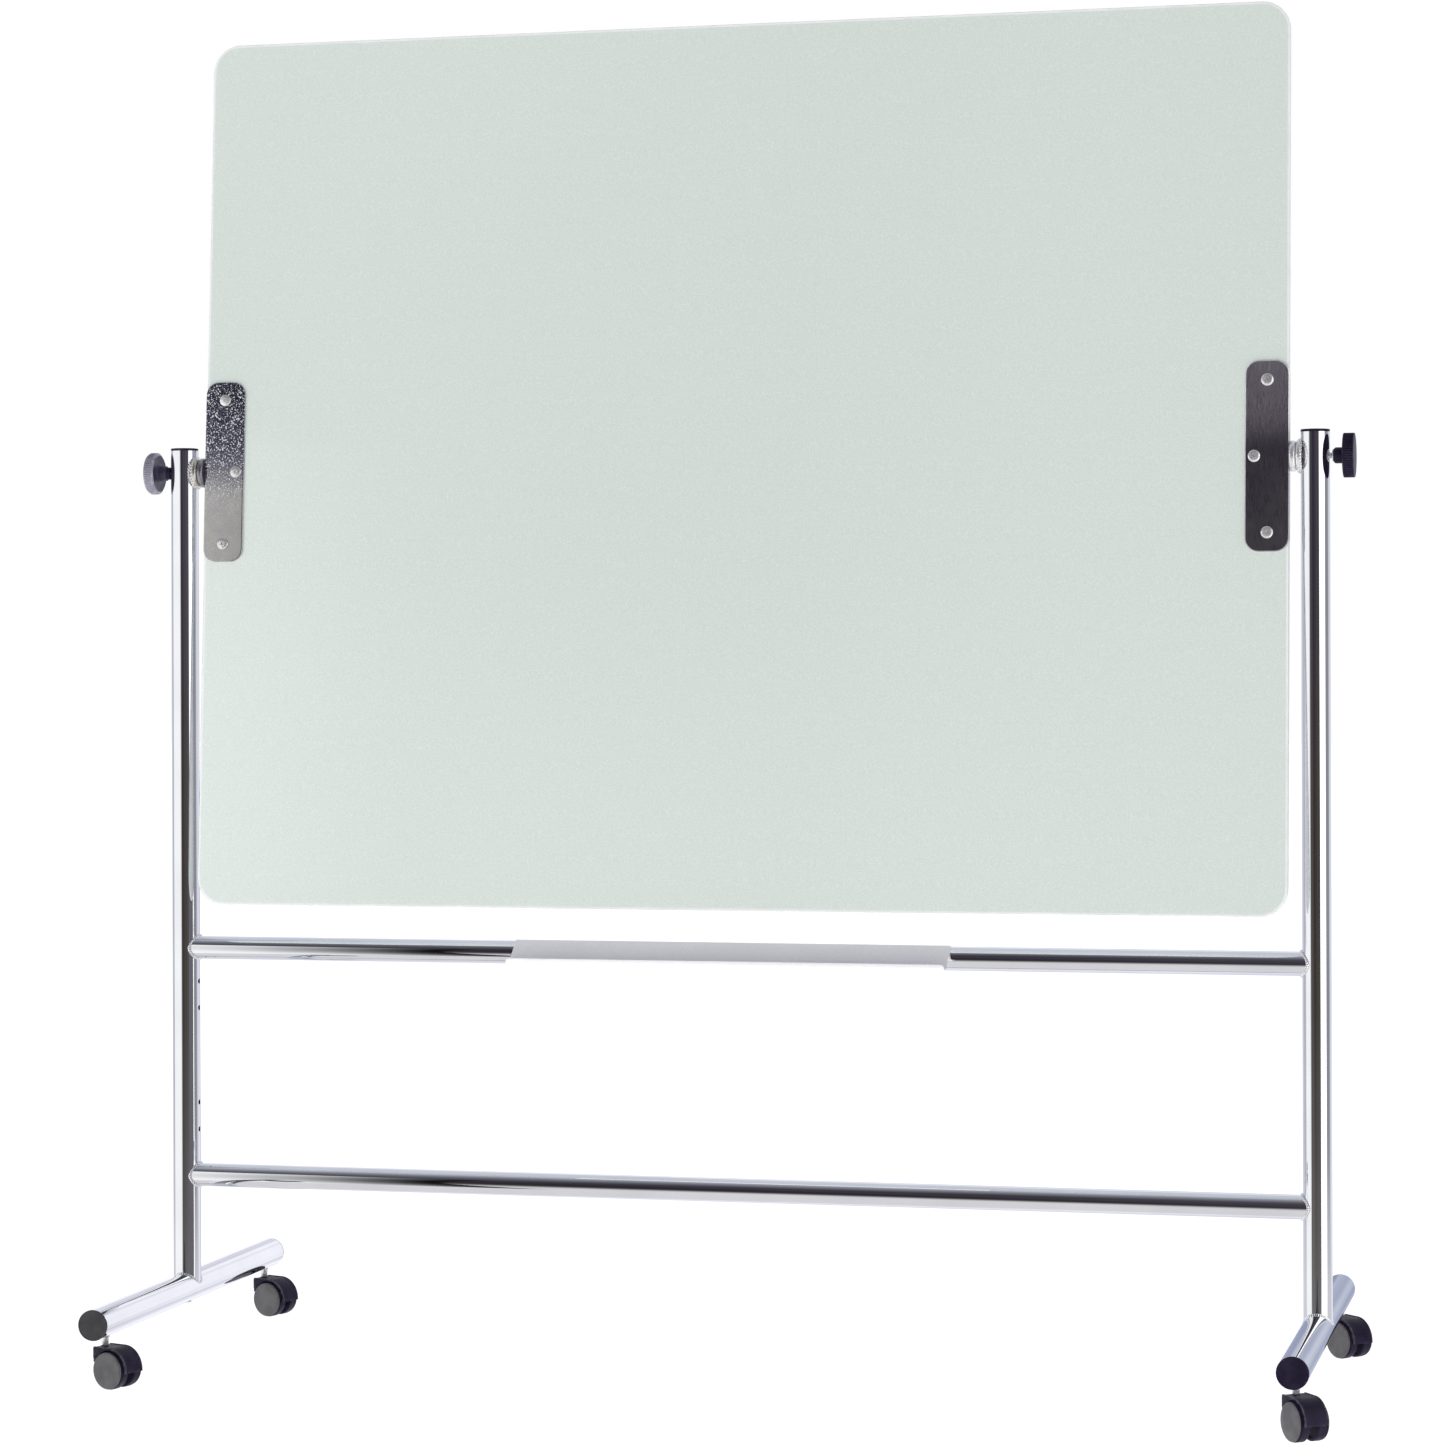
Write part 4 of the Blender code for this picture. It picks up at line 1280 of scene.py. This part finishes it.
@dataclass
class Caster:
    """One twin-wheel caster, built with its stem on Z, its trail along +X and its axle along Y.

    Attributes:
        corner: which caster.
        palette: the finishes.
        trail: distance from the stem to the axle.
        wheel: radius of a wheel.
        wheel_inner: distance of a wheel's inner side from the middle.
        wheel_outer: distance of its crowned face from the middle.
        hood_half: half of the hood's width.
        hood_radius: outer radius of the hood round the axle.
        hood_bore: its inner radius.
        deck: height of the hood's flat top.
        front: the hood's front, along X.
        front_low: height of the front's lower end.
        rear_angle: where the hood ends at the back, in degrees from level.
    """

    corner: Corner
    palette: Palette
    trail: float = 0.021
    wheel: float = 0.025
    wheel_inner: float = 0.006
    wheel_outer: float = 0.0225
    hood_half: float = 0.0165
    hood_radius: float = 0.0290
    hood_bore: float = 0.0263
    deck: float = 0.0540
    front: float = -0.0060
    front_low: float = 0.0350
    rear_angle: float = -4.0

    def __post_init__(self) -> None:
        """Reads the caster's place from its stem and its heading from its wheel's axis."""
        word = self.corner.value
        stem = centre_of(f"{word}_caster_stem")
        axis = next(joint["axis"] for joint in frame["joints"] if joint["name"] == f"{word}_near_roll")
        heading = math.atan2(-axis[0], axis[1])
        self.stand = (Matrix.Rotation(heading, 4, "Z"), Matrix.Translation((stem.x, stem.y, 0)))

    def arc(self, radius: float, degrees: np.ndarray) -> np.ndarray:
        """Points (x, z) on a circle about the axle."""
        angle = np.radians(degrees)
        return np.column_stack([self.trail + radius * np.cos(angle), self.wheel + radius * np.sin(angle)])

    def between(self, outer: np.ndarray, inner: np.ndarray, outline: np.ndarray) -> Shell:
        """A wall between two matched lines: at each pair, outline gives (share from inner to outer, y)."""
        share, y = outline[..., 0], outline[..., 1]
        flat = inner[:, None] + (outer - inner)[:, None] * share[..., None]
        points = np.dstack([flat[..., 0], np.broadcast_to(y, flat.shape[:2]), flat[..., 1]])
        return grid(points, ends=True)

    def build_hood(self) -> None:
        """The hood: an arch with a lip along each side, the web that holds the axle, and the socket."""
        sweep = np.linspace(self.rear_angle, 88, 24)
        corner = [(self.front, self.deck), (self.front, self.front_low)]
        front = softened([self.arc(self.hood_radius, np.array([90.0]))[0], *corner], 0.0022, 5)
        outer = np.vstack([self.arc(self.hood_radius, sweep), front])
        inner_sweep = np.concatenate([sweep, np.linspace(91, 160, len(outer) - len(sweep))])
        inner = self.arc(self.hood_bore, inner_sweep)
        half, edge = self.hood_half, 0.0004
        across = np.array([
            (0.0, edge - half), (0.10, -half), (0.9, -half), (1.0, edge - half),
            (1.0, -half / 2), (1.0, 0), (1.0, half / 2),
            (1.0, half - edge), (0.9, half), (0.10, half), (0.0, half - edge),
            (0.0, half / 2), (0.0, 0), (0.0, -half / 2),
        ])
        arch = self.between(outer, inner, across)
        over = softened(np.vstack([outer[:-1], [(self.front, 0.0395)]]), 0.0003)
        step = np.gradient(over, axis=0)
        step /= np.linalg.norm(step, axis=1, keepdims=True)
        away = over + 0.0008 * np.stack([step[:, 1], -step[:, 0]], axis=-1)
        wide = 0.0016
        lip = np.array([(0.0, 0.0), (0.6, 0.0), (1.0, 0.0004), (1.0, 0.0012), (0.6, wide), (0.0, wide)])
        lips = [self.between(away, over - (away - over), lip + (0, y)) for y in (-half, half - wide)]
        web_half = 0.005
        flat = np.array([(0.0, -web_half), (1.0, -web_half), (1.0, web_half), (0.0, web_half)])
        crown = self.arc(self.hood_bore + 0.0006, np.linspace(10, 139, 24))
        web = self.between(crown, self.arc(0.0060, np.linspace(-10, 170, 24)), flat)
        section = [(0.0033, -web_half), (0.0078, -web_half), (0.0078, web_half), (0.0033, web_half)]
        ring = turned(section, 40, True)
        ring = ring.moved(ALONG_Y, Matrix.Translation((self.trail, 0, self.wheel)))
        top = self.deck + 0.0004
        boss = [(0.0043, 0.031), (0.0057, 0.031), (0.0057, top - 0.0004), (0.0053, top), (0.0043, top)]
        socket = turned(softened(boss, 0.0003), 48, True)
        shells = [shell.moved(*self.stand) for shell in (arch, web, ring, socket)]
        # the lips wear a grey copy of the hood's black moulding as a painted highlight along each side edge
        shells += [shell.worn(1).moved(*self.stand) for shell in lips]
        looks = [self.palette.black, self.palette.dark_grey]
        body = f"{self.corner.value}_caster"
        name = f"{body}_hood"
        add_piece(f"{name}_moulding", shells, looks, body, [name])

    def build_axle(self) -> None:
        """The axle pin with chamfered ends."""
        end, chamfer, radius = 0.0188, 0.0004, 0.0030
        corners = [
            (0, -end), (radius - chamfer, -end), (radius, chamfer - end),
            (radius, end - chamfer), (radius - chamfer, end), (0, end),
        ]
        pin = turned(corners, 32).moved(ALONG_Y, Matrix.Translation((self.trail, 0, self.wheel)), *self.stand)
        body = f"{self.corner.value}_caster"
        name = f"{body}_axle"
        add_piece(f"{name}_pin", [pin], [self.palette.zinc], body, [name])

    def build_wheel(self, word: str, turn: float) -> None:
        """A wheel: a hollowed inner side, a tread with soft edges, a fine groove and a crowned face."""
        r, low, high = self.wheel, self.wheel_inner, self.wheel_outer
        corners = [
            (0, 0.0192), (0.0033, 0.0192), (0.0033, low), (0.0075, low), (0.0085, low + 0.003),
            (r - 0.0050, low + 0.003), (r - 0.0035, low), (r - 0.0008, low), (r, low + 0.0010),
            (r, high - 0.0060), (r - 0.0005, high - 0.0051), (r - 0.0013, high - 0.0049),
            (r - 0.0013, high - 0.0042), (r - 0.0005, high - 0.0039), (r - 0.0008, high - 0.0024),
            (r - 0.0030, high - 0.0010), (r * 0.55, high - 0.0002), (0, high),
        ]
        profile = softened(corners, 0.0009, 4)
        sides = 120
        face = int(np.argmax(profile[:, 1] > high - 0.0030))
        aside = Matrix.Rotation(math.radians(turn), 4, "X")
        axle = Matrix.Translation((self.trail, 0, self.wheel))
        shells = turned(profile, sides).moved(aside, axle, *self.stand).parted(face * sides, 1)
        name = f"{self.corner.value}_{word}_wheel"
        looks = [self.palette.black, self.palette.grey]
        add_piece(f"{name}_disc", shells, looks, name, [name])

    def build_stem(self) -> None:
        """The stem: a shank in the hood, a stepped neck, a flange under the foot and a grip inside it."""
        low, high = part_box(f"{self.corner.value}_caster_stem")
        under = 0.0667
        corners = [
            (0, low.z), (0.0036, low.z), (0.0040, low.z + 0.0005), (0.0040, self.deck + 0.0007),
            (0.0046, self.deck + 0.0012), (0.0052, under - 0.0016), (0.0063, under - 0.0013), (0.0063, under),
            (0.0050, under), (0.0050, high.z - 0.001), (0.0042, high.z), (0, high.z),
        ]
        stem = turned(softened(corners, 0.0003), 48).moved(self.stand[1])
        name = f"{self.corner.value}_caster_stem"
        add_piece(f"{name}_pin", [stem], [self.palette.zinc], "frame", [name])

    def build(self) -> None:
        """Builds and dresses the caster."""
        self.build_hood()
        self.build_axle()
        self.build_wheel("near", 90)
        self.build_wheel("far", -90)
        self.build_stem()


# ---------------------------------------------------------------- studio


def glowing_face(name: str, corners: Line) -> tuple[bpy.types.Object, Nodes]:
    """Adds a four-cornered face whose material is still empty.

    Args:
        name: the name of the object, its mesh and its material.
        corners: its four corners, in order.

    Returns:
        The object, and the nodes of its material.
    """
    mesh = bpy.data.meshes.new(name)
    mesh.from_pydata(corners, [], [(0, 1, 2, 3)])
    material = bpy.data.materials.new(name)
    material.use_nodes = True
    material.node_tree.nodes.clear()
    mesh.materials.append(material)
    face = bpy.data.objects.new(name, mesh)
    bpy.context.scene.collection.objects.link(face)
    return face, Nodes(material.node_tree)


@dataclass
class Panel:
    """A glowing wall that only reflections see.

    Attributes:
        name: its name.
        start: (x, y) of one lower corner.
        end: (x, y) of the other.
        top: its height.
        glow: its brightness.
        fade: width of the soft edge at the start, as a share of the whole.
        colour: its colour.
        one_sided: whether it is clear from behind.
    """

    name: str
    start: tuple[float, float]
    end: tuple[float, float]
    top: float
    glow: float
    fade: float
    colour: Colour = (1.0, 1.0, 1.0)
    one_sided: bool = False

    def build(self) -> None:
        """Builds the wall as one upright face, brighter away from its soft edge."""
        foot = -2.0
        corners = [(*self.start, foot), (*self.end, foot), (*self.end, self.top), (*self.start, self.top)]
        wall, nodes = glowing_face(self.name, corners)
        layer = wall.data.uv_layers.new(name="UVMap")
        layer.data.foreach_set("uv", [0, 0, 1, 0, 1, 1, 0, 1])
        parts = nodes.add("SeparateXYZ", {0: nodes.add("TexCoord").outputs["UV"]})
        power = nodes.span(parts.outputs[0], 0.0, max(self.fade, 0.001), 0.0, self.glow)
        light = nodes.add("Emission", {"Color": (*self.colour, 1), "Strength": power}).outputs[0]
        if self.one_sided:
            behind = nodes.add("NewGeometry").outputs["Backfacing"]
            clear = nodes.add("BsdfTransparent").outputs[0]
            light = nodes.add("MixShader", {0: behind, 1: light, 2: clear}).outputs[0]
        nodes.add("OutputMaterial", {0: light})
        wall.visible_camera = False
        wall.visible_diffuse = False


@dataclass
class Studio:
    """The pale floor, the soft light and the camera.

    Attributes:
        eye: the camera's place.
        yaw: how far the camera looks to the left of +Y, in degrees.
        roll: its roll, in degrees.
        lens: focal length for a 36 mm sensor.
        shift: vertical shift of the frame.
    """

    eye: tuple[float, float, float] = (1.2643, -5.1623, 0.955)
    yaw: float = 13.88
    roll: float = -0.19
    lens: float = 98.3
    shift: float = -0.0418

    def build_camera(self) -> None:
        """The camera: level, turned by the yaw, and rolled about its own axis."""
        camera = bpy.data.objects.new("camera", bpy.data.cameras.new("camera"))
        camera.data.lens = self.lens
        camera.data.sensor_width = 36
        camera.data.shift_y = self.shift
        camera.data.clip_end = 200
        turn = Matrix.Rotation(math.radians(self.yaw), 4, "Z") @ Matrix.Rotation(math.radians(90), 4, "X")
        roll = Matrix.Rotation(math.radians(self.roll), 4, "Z")
        camera.matrix_world = Matrix.Translation(self.eye) @ turn @ roll
        bpy.context.scene.collection.objects.link(camera)
        bpy.context.scene.camera = camera

    def build_floor(self) -> None:
        """A pale floor in two sheets: one that only the camera sees, and a brighter one just below it that
        only lights the object."""
        far = 40.0
        for name, height, seen, glow in (("floor", -0.0002, True, 1.1), ("bounce", -0.01, False, 1.35)):
            corners = [(x, y, height) for x, y in ((-far, -far), (far, -far), (far, far), (-far, far))]
            floor, nodes = glowing_face(name, corners)
            mottling = nodes.span(nodes.noise(0.8, 3), 0.3, 0.7, glow, glow * 1.04)
            light = nodes.add("Emission", {"Strength": mottling})
            nodes.add("OutputMaterial", {0: light.outputs[0]})
            floor.visible_glossy = False
            floor.visible_camera = seen
            floor.visible_diffuse = not seen
            floor.visible_shadow = False

    def build_world(self) -> None:
        """White towards the camera. For light and reflections, a room by direction: dark in front, mid grey
        at both sides, bright behind, and a paler ceiling and floor."""
        world = bpy.data.worlds.new("studio")
        bpy.context.scene.world = world
        world.use_nodes = True
        nodes = Nodes(world.node_tree)
        place = nodes.add("TexCoord").outputs["Generated"]
        x, y, z = nodes.add("SeparateXYZ", {0: place}).outputs
        turn = nodes.maths("ARCTAN2", x, nodes.maths("MULTIPLY", y, -1.0))
        round_turn = nodes.maths("ABSOLUTE", turn)
        broad = nodes.add("TexNoise", {"Vector": place, "Scale": 2.4, "Detail": 2}).outputs[0]
        patches = nodes.span(broad, 0.3, 0.7)
        violet = nodes.mix(patches, (0.032, 0.027, 0.040), (0.090, 0.081, 0.100))
        brown = nodes.mix(patches, (0.045, 0.038, 0.034), (0.095, 0.083, 0.075))
        gloom = nodes.mix(nodes.span(z, -0.06, 0.06), brown, violet)
        rise = nodes.maths("POWER", nodes.add("MapRange", {0: y, 1: -0.92, 2: 0.0}).outputs[0], 1.8)
        above = nodes.mix(rise, gloom, (0.66, 0.70, 0.77))
        front = nodes.mix(nodes.span(z, -0.06, -0.50), above, (0.80, 0.79, 0.80))
        sides = nodes.mix(nodes.span(turn, -1.0, 1.0), (0.55, 0.54, 0.61), (0.30, 0.30, 0.33))
        sides = nodes.mix(nodes.span(z, -0.11, -0.17), sides, (0.78, 0.77, 0.78))
        across = nodes.span(nodes.maths("ABSOLUTE", x), 0.80, 0.93)
        room = nodes.mix(across, front, sides)
        narrow = nodes.add("TexNoise", {"Vector": place, "Scale": 4.5, "Detail": 0}).outputs[0]
        streaks = nodes.span(narrow, 0.30, 0.66)
        pale = nodes.mix(streaks, (0.70, 0.70, 0.79), (1.06, 1.06, 1.12))
        blue = nodes.mix(streaks, (0.27, 0.31, 0.46), (0.64, 0.68, 0.79))
        glow = nodes.mix(nodes.span(y, 0.955, 0.99), pale, blue)
        room = nodes.mix(nodes.span(round_turn, math.radians(118), math.radians(152)), room, glow)
        room = nodes.mix(nodes.span(z, 0.55, 0.90), room, above)
        seen = nodes.add("LightPath").outputs["Is Camera Ray"]
        room = nodes.mix(seen, room, (1.0, 1.0, 1.0))
        nodes.feed(world.node_tree.nodes["Background"], {"Color": room, "Strength": 1.0})

    def build_fill(self) -> None:
        """Three soft lights from the front, left, right and low, that no reflection shows."""
        middle = Vector((0, 0, 1.0))
        fills = (
            ("fill_left", (-3.0, -3.6, 1.0), 2.4, 140.0),
            ("fill_right", (2.6, -4.2, 1.4), 2.4, 22.0),
            ("fill_low", (0.1, -1.5, 0.25), 1.2, 6.5),
        )
        for name, place, size, power in fills:
            light = bpy.data.lights.new(name, "AREA")
            light.size = size
            light.energy = power
            lamp = bpy.data.objects.new(name, light)
            aim = middle - Vector(place)
            lamp.matrix_world = Matrix.Translation(place) @ aim.to_track_quat("-Z", "Y").to_matrix().to_4x4()
            bpy.context.scene.collection.objects.link(lamp)
            lamp.visible_glossy = False
            lamp.visible_camera = False

    def build(self) -> None:
        """Builds the whole studio."""
        bpy.context.scene.view_settings.view_transform = "Standard"
        self.build_camera()
        self.build_floor()
        self.build_world()
        self.build_fill()
        Panel("left_panel", (-1.3, -2.8), (-3.2, 0.2), 1.72, 1.1, 0.25).build()
        Panel("right_panel", (2.3, -2.3), (2.3, -0.2), 2.4, 1.7, 0.02).build()
        Panel("low_panel", (0.55, -0.22), (0.55, -1.4), 0.60, 0.17, 0.02, (0.92, 0.88, 1.0), True).build()
        log.info("studio ready")


def main() -> None:
    """Builds every sub-assembly, then the studio, and notes the sizes."""
    logging.basicConfig(level=logging.INFO, format="%(name)s: %(message)s")
    palette = Palette()
    for side in Side:
        End(side, palette).build()
    Crossbars(palette).build()
    PenTray(palette).build()
    Board(palette).build()
    for side in Side:
        Knob(side, palette).build()
    for corner in Corner:
        Caster(corner, palette).build()
    Studio().build()


if __name__ == "__main__":
    main()
